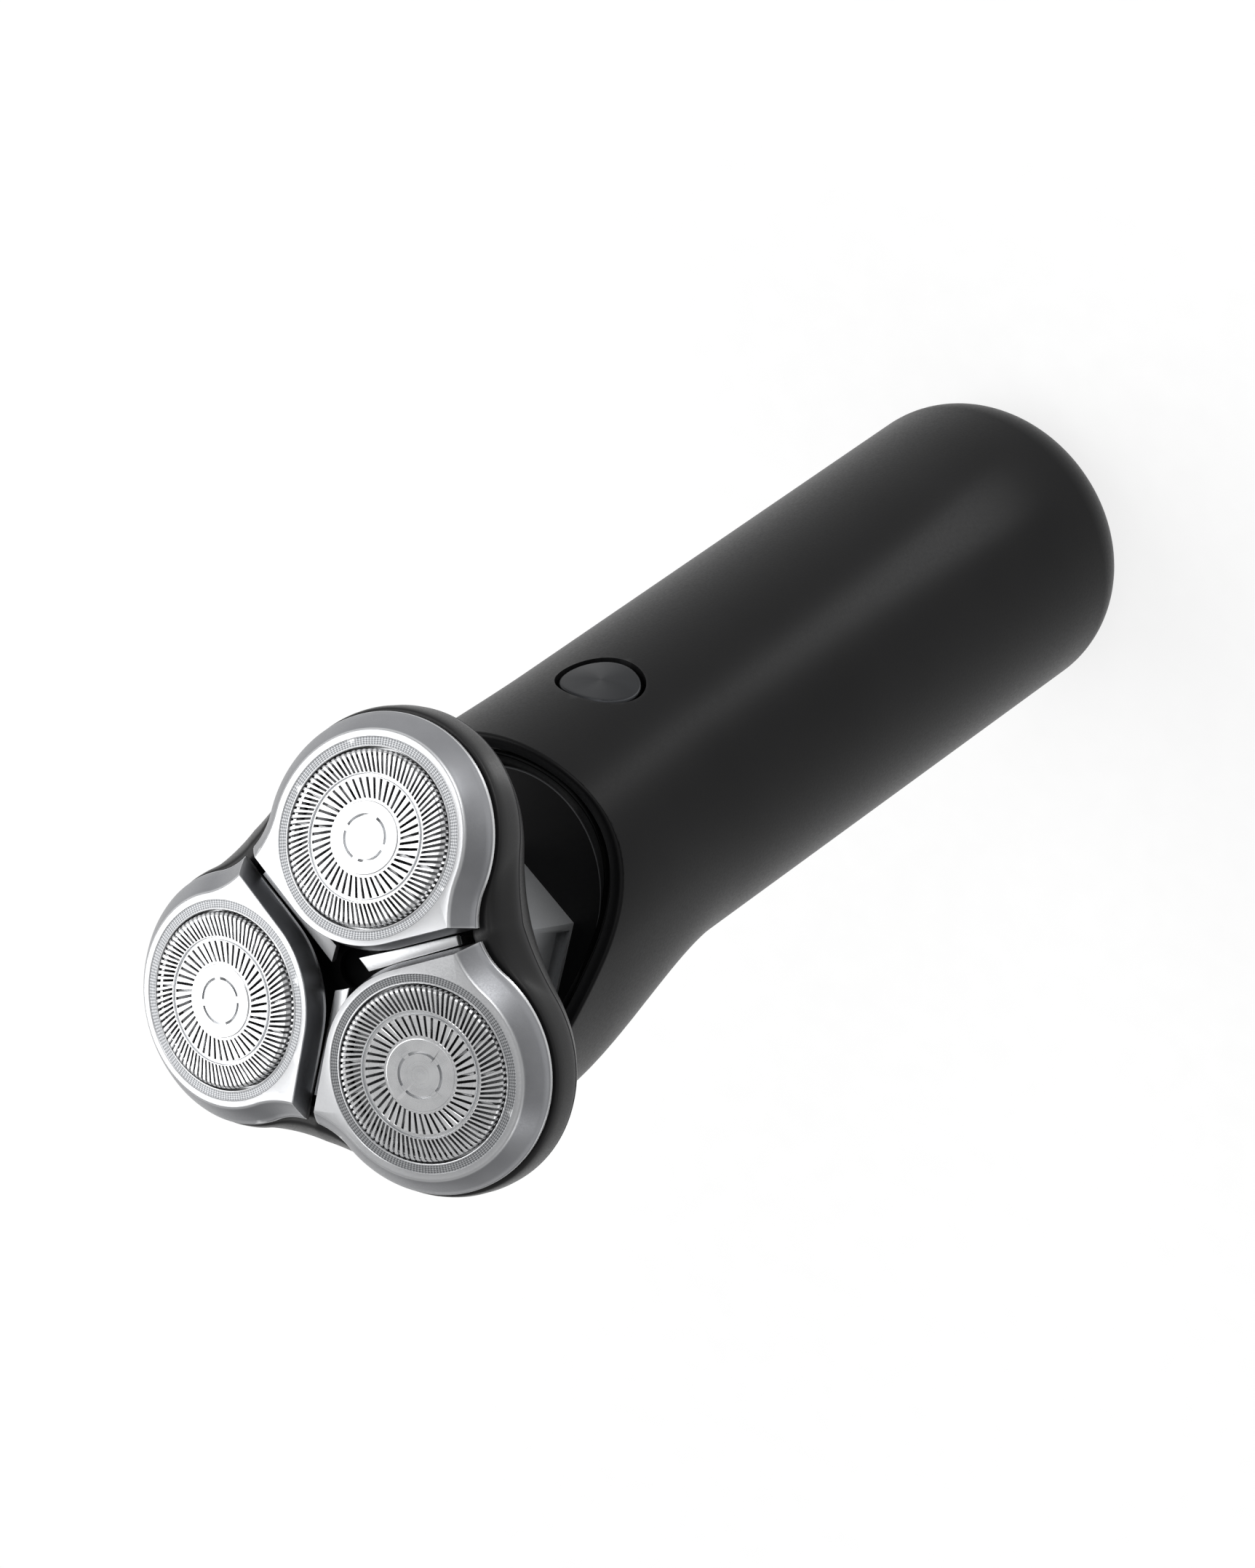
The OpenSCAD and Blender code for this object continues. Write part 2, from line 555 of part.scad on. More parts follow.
module centre_gear() color("#e5e3dc") at_head() {
    translate([0, 0, gear_low]) gear(centre_teeth, -90);
    translate([0, 0, gimbal_w]) cylinder(r = 0.8, h = gear_low - gimbal_w + 0.1);
    translate([0, 0, gimbal_w]) sphere(r = 1.25);
}

module drive_gear() color("#e5e3dc") {
    translate([0, 0, gear_low]) gear(drive_teeth, drive_teeth % 2 == 0 ? 180 / drive_teeth : 0);
    translate([0, 0, gear_plate_top - gear_plate_t + 0.1])
        cylinder(r = 1, h = gear_low - gear_plate_top + 1.2);
    translate([0, 0, gear_top - 0.1]) cylinder(r = 0.95, h = pivot_h - gear_top + 0.1);
    translate([0, 0, pivot_h * cos(cutter_lean)]) sphere(r = tip_r);
}

// Coil that presses the blade against its guard
module spring() color("silver") {
    turns = 2.5;
    low = gear_top + 0.25;
    rise = 1.75;
    skin([for (k = [0:40]) let (a = 360 * turns * k / 40, z = low + rise * k / 40)
        [for (j = [0:6]) let (b = -360 * j / 7, q = 1.9 + 0.2 * cos(b))
            [q * cos(a), q * sin(a), z + 0.2 * sin(b)]]]);
}

// ---- one cutter, in its own frame ----
module plate() color("#b9bbbd") difference() {
    top = plate_ring(0, plate_top_r, 12.8, gap_top);
    under = plate_ring(-0.8, plate_top_r - 0.5, 12.8, gap_top + 0.3);
    skin([
        plate_ring(-plate_h, plate_r + 0.05, 9, gap_low), plate_ring(-plate_h + 0.4, plate_r, 9, gap_low),
        plate_ring(-plate_h * 0.4, plate_top_r + bevel_w * 0.5, 10.6, mix(gap_top, gap_low, 0.4)),
        plate_ring(-0.15, plate_top_r + 0.12, 12.6, gap_top - 0.05),
        plate_ring(0, plate_top_r - 0.1, 12.8, gap_top + 0.1),
        circle_ring(0, plate_bore - 1, top), circle_ring(-0.8, plate_bore - 1, under),
        under,
        plate_ring(-plate_h * 0.4 - 0.3, plate_top_r + bevel_w * 0.5 - 0.7, 11,
            mix(gap_top, gap_low, 0.4) + 0.5),
        plate_ring(-plate_h, plate_r - 0.6, 9.4, gap_low + 0.5)], loop = true);
    translate([0, 0, -3]) cylinder(r = plate_bore, h = 5);
}

module holder() color("#1b1c1e") {
    rotate_extrude() polygon([[flange_r + 0.05, -0.8], [holder_r, -0.8], [holder_r, -guard_h - 1],
        [blade_r + 0.35, -guard_h - 1], [blade_r + 0.35, -guard_h], [flange_r + 0.05, -guard_h]]);
    for (s = [-1, 1]) {
        translate([0, s * (holder_r - 1.2), pivot_h]) rotate([-90 * s, 0, 0])
            cylinder(r = trunnion_r, h = clear + 2);
        translate([-1.2, s > 0 ? holder_r - 1.5 : 0.4 - holder_r, pivot_h - 1])
            cube([2.4, 1.1, 1.4]);
    }
}

module guard() color("#d5d6d8") difference() {
    top = guard_rise;
    middle = (guard_r + cap_r) / 2;
    rotate_extrude() polygon([[1.2, top], [guard_r - 0.4, top], [guard_r - 0.1, top - 0.15],
        [guard_r, top - 0.45], [guard_r, -guard_h + 0.5], [flange_r, -guard_h + 0.5],
        [flange_r, -guard_h], [guard_r - guard_t, -guard_h], [guard_r - guard_t, top - guard_t - 0.1],
        [guard_r - guard_t - 0.1, top - guard_t], [1.2, top - guard_t]]);
    rotate_extrude() translate([middle - 0.1, top - 0.12]) square([0.3, 1]);
    for (k = [0:outer_slots - 1]) rotate([0, 0, 360 * k / outer_slots])
        translate([middle + 0.6, -0.25, top - 1]) cube([guard_r - middle - 1.1, 0.5, 2]);
    for (k = [0:inner_slots - 1]) rotate([0, 0, 360 * k / inner_slots])
        translate([cap_r + 0.35, -0.25, top - 1]) cube([(guard_r - cap_r) / 2 - 0.9, 0.5, 2]);
}

module cap() color("#dcdddf") translate([0, 0, guard_rise]) difference() {
    union() {
        rotate_extrude() polygon([[0, 0], [cap_r, 0], [cap_r, cap_h / 2], [cap_r - cap_h / 2, cap_h],
            [0, cap_h]]);
        translate([0, 0, -0.3]) cylinder(r = 1.2, h = 0.35);
    }
    for (a = [0:90:270]) rotate([0, 0, a + 8]) rotate_extrude(angle = 74)
        translate([cap_r * 0.6, cap_h * 0.4]) square([0.3, 1]);
}

module blade() color("#c4c6c8") {
    difference() {
        translate([0, 0, -2.4]) cylinder(r = blade_r, h = 0.5);
        translate([0, 0, -3]) cylinder(r = 2.4, h = 2);
    }
    for (k = [0:blade_edges - 1]) rotate([0, 0, 360 * k / blade_edges]) {
        translate([blade_r - 2.2, -0.2, -2]) cube([2, 0.4, blade_top + 2]);
        translate([cap_r + 0.3, -0.2, -2]) cube([2, 0.4, blade_top + 2]);
    }
}

module hub() color("#e5e3dc") difference() {
    union() {
        translate([0, 0, hub_low]) cylinder(r = hub_r, h = -2.4 - hub_low);
        translate([0, 0, -2.5]) cylinder(r = 2.4, h = 1);
    }
    translate([0, 0, hub_low - 1]) cylinder(r = tip_r + clear, h = -hub_low - 1);
}

body_shell();
mouth_liner();
bulkhead();
shaft_seal();
neck();
chassis();
battery_cell();
battery_tabs();
circuit_board();
board_parts();
power_switch();
charging_socket();
socket_seal();
motor_can();
motor_magnets();
motor_cap();
motor_screws();
neck_screws();
power_button();
switch_plunger();
button_seal();
motor_shaft();
armature();
drive_coupling();
gimbal_ring();
pitch_pins();
roll_pins();
under_cover();
head_carrier();
gear_plate();
head_deck();
blade_frame();
head_screws();
centre_gear();
for (i = [0:2]) {
    at_cutter(i) plate();
    at_cutter(i) holder();
    at_cutter(i) guard();
    at_cutter(i) cap();
    at_cutter(i) blade();
    at_cutter(i) hub();
    at_spindle(i) drive_gear();
    at_spindle(i) spring();
}
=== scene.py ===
"""Three-head rotary shaver: soft-touch handle, glossy mouth, grey neck and a tilting steel head.

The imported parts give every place: the head and each cutter are found from their joints' axes.
Lengths are millimetres in the shaver's own frame, and MM turns them into metres at the end.
"""
import json
from math import asin, atan2, cos, hypot, pi, radians, sin, sqrt

import bmesh
import bpy
from mathutils import Matrix, Vector


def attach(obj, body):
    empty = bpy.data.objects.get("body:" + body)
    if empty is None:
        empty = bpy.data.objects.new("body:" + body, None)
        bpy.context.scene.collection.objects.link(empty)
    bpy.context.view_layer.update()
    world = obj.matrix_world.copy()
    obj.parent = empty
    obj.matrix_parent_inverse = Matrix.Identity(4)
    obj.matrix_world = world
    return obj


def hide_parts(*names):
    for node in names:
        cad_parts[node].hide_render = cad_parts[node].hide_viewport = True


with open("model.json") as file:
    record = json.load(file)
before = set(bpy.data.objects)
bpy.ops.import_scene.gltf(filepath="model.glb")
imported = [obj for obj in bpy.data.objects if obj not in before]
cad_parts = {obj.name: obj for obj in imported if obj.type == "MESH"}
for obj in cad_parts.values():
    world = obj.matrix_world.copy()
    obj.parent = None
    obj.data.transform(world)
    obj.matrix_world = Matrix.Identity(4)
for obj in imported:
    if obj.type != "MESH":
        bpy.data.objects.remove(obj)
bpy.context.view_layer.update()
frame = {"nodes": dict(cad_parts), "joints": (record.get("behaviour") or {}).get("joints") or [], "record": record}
MM = 0.001
SIDES = ["front", "right", "left"]
joints = {joint["name"]: joint for joint in frame["joints"]}

# ---- sizes of the handle ----
HANDLE_R = 19.2
TAIL_ROUND = 9.5
WALL = 2.0
TUBE_TOP = 86.0
FLARE_LOW = 92.0
FLARE_HIGH = 122.0
FLARE_BACK = 10.0
FLARE_SIDE = 1.0
RIM_FRONT = 116.0
RIM_BACK = 138.0
RIM_START = HANDLE_R - 3.3
FLOOR_Z = 118.0
BUTTON_Z = 96.5
BUTTON_R = 5.05
BUTTON_GAP = 0.5
PORT_Z = 15.0

# ---- sizes of the head ----
WEB = 3.65
GUARD_R = 10.55
PITCH = (GUARD_R + WEB) / sin(radians(60))
PIVOT_DEPTH = 3.2
GEAR_DEPTH = 9.0
NECK_CORNER = 11.5 / cos(radians(30))
PLATE_R = 12.8
SKIRT_R = 15.2
PLATE_H = 3.3
PLATE_LIP = -2.8
BORE_R = 10.8
GUARD_RISE = 0.6
CAP_R = 4.4
CAP_H = 0.15
OUTER_SLOTS = 90
INNER_SLOTS = 46
SLOT_W = 0.29
RIB_T = 0.3
KNURL_IN = 11.05
KNURL_OUT = 11.95
KNURL_COUNT = 96
KNURL_PITCH = 0.46


# ---- frames ----
def axes_matrix(x, y, z, origin):
    """Places a piece drawn in millimetres on its own axes into the shaver's frame, in metres."""
    turn = Matrix((x, y, z)).transposed().to_4x4()
    return Matrix.Translation(origin) @ turn @ Matrix.Scale(MM, 4)


def head_frame():
    gear = joints["centre_gear_spin"]
    up = Vector(gear["axis"]).normalized()
    across = Vector((1, 0, 0))
    return axes_matrix(across, up.cross(across), up, Vector(gear["pos_m"]) + GEAR_DEPTH * MM * up)


def cutter_frame(side):
    spin = joints[side + "_blade_spin"]
    up = Vector(spin["axis"]).normalized()
    along = Vector(joints[side + "_tilt"]["axis"]).normalized()
    return axes_matrix(along.cross(up), along, up, Vector(spin["pos_m"]) + PIVOT_DEPTH * MM * up)


ROW = Matrix.Scale(MM, 4)
HEAD = head_frame()
CUTTER = {side: cutter_frame(side) for side in SIDES}
HEAD_UP = HEAD.to_3x3().col[2].normalized()
LEAN = HEAD_UP.angle(CUTTER["front"].to_3x3().col[2])
TILT = HEAD_UP.angle(Vector((0, 0, 1)))
BUTTON = axes_matrix(
    Vector((1, 0, 0)), Vector((0, 0, 1)), Vector((0, -1, 0)), Vector((0, 0, BUTTON_Z * MM)))


# ---- camera, floor and light ----
AIM = Vector((0.0055, 0.0043, 0.0808))
VIEW_AZIMUTH = radians(43.85)
VIEW_ELEVATION = radians(47.53)
VIEW_ROLL = radians(125.2)
VIEW_DISTANCE = 1.36
WORLD_STRENGTH = 0.5
STRIP_AZIMUTH = 240
STRIP_REACH = 0.115
STRIP_LIFT = 0.002
LENS = 254.2


def direction(azimuth, elevation):
    """Unit vector at a compass angle from +X and a height angle, both in degrees."""
    a, e = radians(azimuth), radians(elevation)
    return Vector((cos(a) * cos(e), sin(a) * cos(e), sin(e)))


def add_camera():
    data = bpy.data.cameras.new("camera")
    data.lens = LENS
    data.sensor_height = 36
    data.sensor_fit = "VERTICAL"
    camera = bpy.data.objects.new("camera", data)
    bpy.context.scene.collection.objects.link(camera)
    look = Vector((sin(VIEW_AZIMUTH) * cos(VIEW_ELEVATION), cos(VIEW_AZIMUTH) * cos(VIEW_ELEVATION),
                   -sin(VIEW_ELEVATION)))
    level = look.to_track_quat("-Z", "Y").to_matrix()
    turn = level @ Matrix.Rotation(-VIEW_ROLL, 3, "Z")
    camera.matrix_world = Matrix.Translation(AIM - VIEW_DISTANCE * look) @ turn.to_4x4()
    bpy.context.scene.camera = camera


def facing(azimuth, elevation, distance):
    """Place of a light that looks at the shaver from a compass angle and a height angle."""
    toward = direction(azimuth, elevation)
    turn = toward.to_track_quat("Z", "Y").to_matrix().to_4x4()
    return Matrix.Translation(AIM + distance * toward) @ turn


def on_floor(azimuth, distance):
    """Place of a light that lies just over the floor, looks up and runs away from the handle."""
    spot = distance * direction(azimuth, 0) + Vector((0, 0, STRIP_LIFT))
    turn = Matrix.Rotation(radians(azimuth + 90), 4, "Z") @ Matrix.Rotation(pi, 4, "X")
    return Matrix.Translation(spot) @ turn


def add_softbox(name, place, width, height, power):
    """A rectangular soft light, sized in metres."""
    data = bpy.data.lights.new(name, "AREA")
    data.shape = "RECTANGLE"
    data.size = width
    data.size_y = height
    data.energy = power
    light = bpy.data.objects.new(name, data)
    bpy.context.scene.collection.objects.link(light)
    light.matrix_world = place


def add_light():
    """Even white room, a large panel for the steel, two weak fills and a strip for the handle's sheen."""
    bpy.context.scene.view_settings.view_transform = "Standard"
    world = bpy.data.worlds.new("studio")
    world.use_nodes = True
    white = world.node_tree.nodes["Background"]
    white.inputs["Color"].default_value = (1, 1, 1, 1)
    white.inputs["Strength"].default_value = WORLD_STRENGTH
    bpy.context.scene.world = world
    add_softbox("overhead", facing(345, 46, 1.4), 1.9, 0.9, 12.5)
    add_softbox("key", facing(253, 16, 1.2), 0.5, 0.7, 3.5)
    add_softbox("rim", facing(150, 25, 1.3), 0.3, 0.8, 1)
    add_softbox("floor_strip", on_floor(STRIP_AZIMUTH, STRIP_REACH), 0.022, 0.16, 0.035)


# ---- materials ----
def hex_colour(code):
    """sRGB hex code as linear red, green, blue and alpha."""
    def linear(v):
        return v / 12.92 if v <= 0.04045 else ((v + 0.055) / 1.055) ** 2.4
    return tuple(linear(int(code[i:i + 2], 16) / 255) for i in (1, 3, 5)) + (1.0,)


def add(tree, kind, sockets=None, **settings):
    """Adds a node with its settings; sockets maps an input to a value or to the output that feeds it."""
    made = tree.nodes.new(kind)
    for name, value in settings.items():
        setattr(made, name, value)
    for name, value in (sockets or {}).items():
        if isinstance(value, bpy.types.NodeSocket):
            tree.links.new(value, made.inputs[name])
        else:
            made.inputs[name].default_value = value
    return made


def start_finish(name, **shader_values):
    """A new material, its node tree, its shader and the Object coordinates."""
    material = bpy.data.materials.new(name)
    material.use_nodes = True
    tree = material.node_tree
    shader = tree.nodes["Principled BSDF"]
    for socket, value in shader_values.items():
        shader.inputs[socket.replace("_", " ")].default_value = value
    place = add(tree, "ShaderNodeTexCoord").outputs["Object"]
    return material, tree, shader, place


def grain(tree, place, size, detail=3.0, stretch=None):
    """Noise whose spots are about size millimetres across, stretched along one axis if asked."""
    if stretch:
        place = add(tree, "ShaderNodeMapping", {"Vector": place, "Scale": stretch}).outputs["Vector"]
    return add(tree, "ShaderNodeTexNoise", {"Vector": place, "Scale": 1 / (size * MM), "Detail": detail}
               ).outputs["Fac"]


def tint(tree, factor, low, high, spread=(0.3, 0.7)):
    """Colour that runs from low to high as the factor crosses the spread."""
    ramp = add(tree, "ShaderNodeValToRGB", {"Fac": factor})
    for element, where, code in zip(ramp.color_ramp.elements, spread, (low, high)):
        element.position = where
        element.color = hex_colour(code)
    return ramp.outputs["Color"]


def between(tree, factor, low, high, spread=(0.3, 0.7)):
    """Number that runs from low to high as the factor crosses the spread."""
    return add(tree, "ShaderNodeMapRange", {"Value": factor, "From Min": spread[0], "From Max": spread[1],
                                            "To Min": low, "To Max": high}).outputs["Result"]


def maths(tree, operation, *values):
    """One maths node on one, two or three values or outputs."""
    return add(tree, "ShaderNodeMath", dict(enumerate(values)), operation=operation).outputs["Value"]


def cells(tree, place, size):
    """Voronoi cells about size millimetres across."""
    return add(tree, "ShaderNodeTexVoronoi", {"Vector": place, "Scale": 1 / (size * MM)})


def painted_edge_highlight(tree, colour, bright, amount=0.5, start=0.52):
    """Lightens a colour where the surface turns sharply outward: a painted highlight along the edges."""
    edge = add(tree, "ShaderNodeNewGeometry").outputs["Pointiness"]
    share = between(tree, edge, 0.0, amount, (start, start + 0.1))
    blend = add(tree, "ShaderNodeMix", {"Factor": share, "B": hex_colour(bright)}, data_type="RGBA")
    tree.links.new(colour, blend.inputs["A"])
    return blend.outputs["Result"]


def surface(tree, shader, colour=None, roughness=None, height=None, depth=0.01, strength=0.5):
    """Links colour, roughness and a height pattern of that depth in millimetres to the shader."""
    if colour:
        tree.links.new(colour, shader.inputs["Base Color"])
    if roughness:
        tree.links.new(roughness, shader.inputs["Roughness"])
    if height:
        bump = add(tree, "ShaderNodeBump", {
            "Height": height, "Distance": depth * MM, "Strength": strength})
        tree.links.new(bump.outputs["Normal"], shader.inputs["Normal"])


def soft_touch_abs():
    # ABS under a soft-touch lacquer: deep matt black, a wide soft highlight, a fine even grain and a painted
    # highlight along its edges
    material, tree, shader, place = start_finish("soft_touch_black_abs", IOR=1.32, Specular_IOR_Level=0.2)
    fine = grain(tree, place, 0.32, 2)
    cloud = grain(tree, place, 14)
    colour = painted_edge_highlight(tree, tint(tree, cloud, "#0a0a0b", "#0e0e0f"), "#3a3a3b", 0.35)
    surface(tree, shader, colour, between(tree, fine, 0.33, 0.41), fine, 0.02, 0.3)
    return material


def gloss_abs():
    # High-gloss ABS from a polished mould: near black, mirror-like, with faint hairlines and dust, and a painted
    # highlight along sharp edges such as the lining's thin rim edge
    material, tree, shader, place = start_finish("gloss_black_abs", IOR=1.5, Specular_IOR_Level=0.1)
    hairline = grain(tree, place, 0.5, 2, (1, 1, 0.12))
    dust = grain(tree, place, 3)
    colour = painted_edge_highlight(tree, tint(tree, dust, "#020202", "#050505"), "#77787a", 0.9, 0.56)
    surface(tree, shader, colour, between(tree, hairline, 0.08, 0.2), hairline, 0.003, 0.2)
    return material


def satin_abs():
    # Spark-eroded mould finish on black ABS: satin, with a painted highlight along its edges
    material, tree, shader, place = start_finish("satin_black_abs", IOR=1.36)
    fine = grain(tree, place, 0.22, 2)
    cloud = grain(tree, place, 9)
    colour = painted_edge_highlight(tree, tint(tree, cloud, "#0e0e0f", "#151516"), "#4a4a4c", 0.4)
    surface(tree, shader, colour, between(tree, fine, 0.32, 0.44), fine, 0.012, 0.35)
    return material


def plain_plastic(name, low, high, roughness=0.5, size=0.4, shine=0.5):
    """Moulded inner plastic: flow marks in its colour, a matt spark-eroded grain and a painted highlight along its
    edges.
    """
    material, tree, shader, place = start_finish(name, IOR=1.5, Specular_IOR_Level=shine)
    fine = grain(tree, place, size, 2)
    flow = grain(tree, place, 6, 3, (1, 1, 0.4))
    colour = painted_edge_highlight(tree, tint(tree, flow, low, high), high, 0.5)
    matt = between(tree, fine, roughness - 0.07, roughness + 0.07)
    surface(tree, shader, colour, matt, fine, 0.015, 0.3)
    return material


def natural_nylon():
    # Unfilled acetal and nylon gears: milky white, waxy, slightly see-through
    material, tree, shader, place = start_finish(
        "natural_nylon", IOR=1.53, Subsurface_Weight=0.15, Subsurface_Scale=0.001)
    flow = grain(tree, place, 4)
    fine = grain(tree, place, 0.3)
    colour = tint(tree, flow, "#dcd8cc", "#efece2")
    surface(tree, shader, colour, between(tree, fine, 0.34, 0.46), fine, 0.01, 0.25)
    return material


def metallic_paint():
    # Grey paint with fine aluminium flake over polycarbonate: satin, sparkling a little close up, with a painted
    # highlight along its edges
    material, tree, shader, place = start_finish("grey_metallic_paint", Metallic=0.45, IOR=1.5)
    flake = cells(tree, place, 0.14).outputs["Color"]
    cloud = grain(tree, place, 8)
    colour = painted_edge_highlight(tree, tint(tree, cloud, "#7e8083", "#8a8c8f"), "#c6c8ca", 0.7)
    surface(tree, shader, colour, between(tree, flake, 0.28, 0.42), flake, 0.004, 0.25)
    return material


def spun_aluminium():
    # Dark anodised aluminium faced on a lathe: the ring marks spread the light into cone-shaped streaks
    material, tree, shader, _ = start_finish(
        "dark_spun_aluminium", Metallic=1.0, Anisotropic=0.85)
    across = add(tree, "ShaderNodeUVMap", uv_map="turned").outputs["UV"]
    radius = add(tree, "ShaderNodeSeparateXYZ", {"Vector": across}).outputs["Y"]
    rings = add(tree, "ShaderNodeTexNoise", {"W": radius, "Scale": 300.0, "Detail": 2.0},
                noise_dimensions="1D")
    marks = rings.outputs["Fac"]
    along = add(tree, "ShaderNodeTangent", direction_type="UV_MAP", uv_map="turned")
    tree.links.new(along.outputs["Tangent"], shader.inputs["Tangent"])
    colour = tint(tree, marks, "#2a2b2d", "#38393b")
    surface(tree, shader, colour, between(tree, marks, 0.3, 0.42), marks, 0.004, 0.3)
    return material


def own_place(tree):
    """Distance in millimetres from the piece's own axis, the angle round it and the height along it."""
    own = add(tree, "ShaderNodeAttribute", attribute_name="own").outputs["Vector"]
    flat = add(tree, "ShaderNodeVectorMath", {0: own, 1: (1, 1, 0)}, operation="MULTIPLY")
    radius = add(tree, "ShaderNodeVectorMath", {0: flat.outputs["Vector"]}, operation="LENGTH")
    parts = add(tree, "ShaderNodeSeparateXYZ", {"Vector": own})
    angle = maths(tree, "ARCTAN2", parts.outputs["Y"], parts.outputs["X"])
    return radius.outputs["Value"], angle, parts.outputs["Z"]


def blasted_steel():
    # Bead-blasted stainless steel: soft silver with fine pits, and a knurled band round each guard; the skirt and
    # the knurl's grooves carry painted shade, the lip and sharp edges a painted highlight
    material, tree, shader, place = start_finish("bead_blasted_steel", Metallic=1.0)
    pits = grain(tree, place, 0.2, 2)
    cloud = grain(tree, place, 7)
    radius, angle, level = own_place(tree)
    turns = maths(tree, "MULTIPLY", angle, KNURL_COUNT)
    rise = maths(tree, "MULTIPLY", radius, 2 * pi / KNURL_PITCH)
    one = maths(tree, "SINE", maths(tree, "ADD", turns, rise))
    other = maths(tree, "SINE", maths(tree, "SUBTRACT", turns, rise))
    knurl = maths(tree, "MULTIPLY_ADD", maths(tree, "MULTIPLY", one, other), 0.5, 0.5)
    off_middle = maths(tree, "ABSOLUTE", maths(tree, "SUBTRACT", radius, (KNURL_IN + KNURL_OUT) / 2))
    on_top = maths(tree, "GREATER_THAN", level, -0.5)
    near_middle = maths(tree, "LESS_THAN", off_middle, (KNURL_OUT - KNURL_IN) / 2)
    band = maths(tree, "MULTIPLY", on_top, near_middle)
    height = maths(tree, "ADD", maths(tree, "MULTIPLY", maths(tree, "MULTIPLY", knurl, band), 4.0), pits)
    flat = tint(tree, cloud, "#c3c4c6", "#cdced0")
    # The sloping skirt is painted in a greyer copy of the steel as shade; the lip under it keeps the bright colour
    # as a painted highlight.
    skirt_shade_colour = tint(tree, cloud, "#86878a", "#929396")
    skirt_shade_mask = maths(tree, "MULTIPLY", between(tree, level, 0.0, 1.0, (-0.12, -0.3)),
                     between(tree, level, 0.0, 1.0, (PLATE_LIP - 0.06, PLATE_LIP + 0.02)))
    steel = add(tree, "ShaderNodeMix", {"Factor": skirt_shade_mask, "A": flat, "B": skirt_shade_colour}, data_type="RGBA"
                ).outputs["Result"]
    # The knurled band is painted greyer, most of all in its grooves, as shade in the knurl.
    knurl_groove_shade = maths(tree, "MULTIPLY", band, between(tree, knurl, 0.9, 0.35))
    knurl_shaded_colour = add(tree, "ShaderNodeMix", {"Factor": knurl_groove_shade, "A": steel, "B": hex_colour("#5f6164")},
                 data_type="RGBA")
    colour = painted_edge_highlight(tree, knurl_shaded_colour.outputs["Result"], "#e2e3e4", 0.7)
    surface(tree, shader, colour, between(tree, pits, 0.3, 0.4), height, 0.012, 0.35)
    return material


def ground_steel():
    # Ground and etched stainless cutter steel: bright, with fine ring marks from the wheel and a painted highlight
    # along its edges
    material, tree, shader, place = start_finish("ground_cutter_steel", Metallic=1.0)
    radius, _, _ = own_place(tree)
    ring = add(tree, "ShaderNodeTexNoise", {"W": radius, "Scale": 5.0, "Detail": 3.0},
               noise_dimensions="1D")
    cloud = grain(tree, place, 2)
    marks = maths(tree, "MULTIPLY", maths(tree, "ADD", ring.outputs["Fac"], cloud), 0.5)
    colour = painted_edge_highlight(tree, tint(tree, marks, "#d2d3d5", "#dfe0e1"), "#f4f4f5", 0.6)
    surface(tree, shader, colour, between(tree, marks, 0.24, 0.32), marks, 0.002, 0.2)
    return material


def plain_steel(name, low, high, roughness=0.26):
    """Drawn or pressed steel: bright, with long fine draw lines, a little stain and a painted highlight along its
    edges.
    """
    material, tree, shader, place = start_finish(name, Metallic=1.0)
    lines = grain(tree, place, 0.25, 3, (1, 1, 0.15))
    stain = grain(tree, place, 5)
    colour = painted_edge_highlight(tree, tint(tree, stain, low, high), "#e6e7e8", 0.5)
    satin = between(tree, lines, roughness - 0.07, roughness + 0.1)
    surface(tree, shader, colour, satin, lines, 0.005, 0.25)
    return material


def seal_rubber():
    # Nitrile rubber: dull black with a dusty bloom
    material, tree, shader, place = start_finish("nitrile_rubber", IOR=1.52)
    bloom = grain(tree, place, 2.5)
    fine = grain(tree, place, 0.25)
    colour = tint(tree, bloom, "#101010", "#262626")
    surface(tree, shader, colour, between(tree, fine, 0.7, 0.85), fine, 0.02, 0.4)
    return material


def board_laminate():
    # Green solder mask over glass laminate: copper tracks show as a lighter maze under the mask
    material, tree, shader, place = start_finish("green_circuit_laminate", IOR=1.5)
    tracks = add(tree, "ShaderNodeTexBrick", {
        "Vector": place, "Color1": hex_colour("#1b5a36"), "Color2": hex_colour("#216b40"),
        "Mortar": hex_colour("#2f8a55"), "Scale": 1.0, "Mortar Size": 0.18 * MM, "Brick Width": 2.4 * MM,
        "Row Height": 1.1 * MM})
    weave = grain(tree, place, 0.4)
    surface(tree, shader, tracks.outputs["Color"], between(tree, weave, 0.25, 0.4), weave, 0.02, 0.3)
    return material


def cell_sleeve():
    # Heat-shrunk film over a steel cell can: blue, glossy, wrinkled slightly where it has shrunk
    material, tree, shader, place = start_finish("blue_shrink_sleeve", IOR=1.48, Coat_Weight=0.3)
    wrinkle = grain(tree, place, 3, 3, (1, 1, 0.25))
    surface(tree, shader, tint(tree, wrinkle, "#2f5e8c", "#3f729f"), between(tree, wrinkle, 0.2, 0.35),
            wrinkle, 0.05, 0.3)
    return material


def wound_copper():
    # Enamelled copper wire: orange-brown, with a painted sheen in lighter bands where the turns lie side by side
    material, tree, shader, place = start_finish("enamelled_copper", Metallic=1.0)
    wave = add(tree, "ShaderNodeTexWave", {
        "Vector": place, "Scale": 1 / (0.35 * MM) / 20, "Distortion": 0.6}, bands_direction="Z")
    turns = wave.outputs["Fac"]
    colour = tint(tree, turns, "#7a3b1c", "#b8693a")
    surface(tree, shader, colour, between(tree, turns, 0.25, 0.45), turns, 0.08, 0.6)
    return material


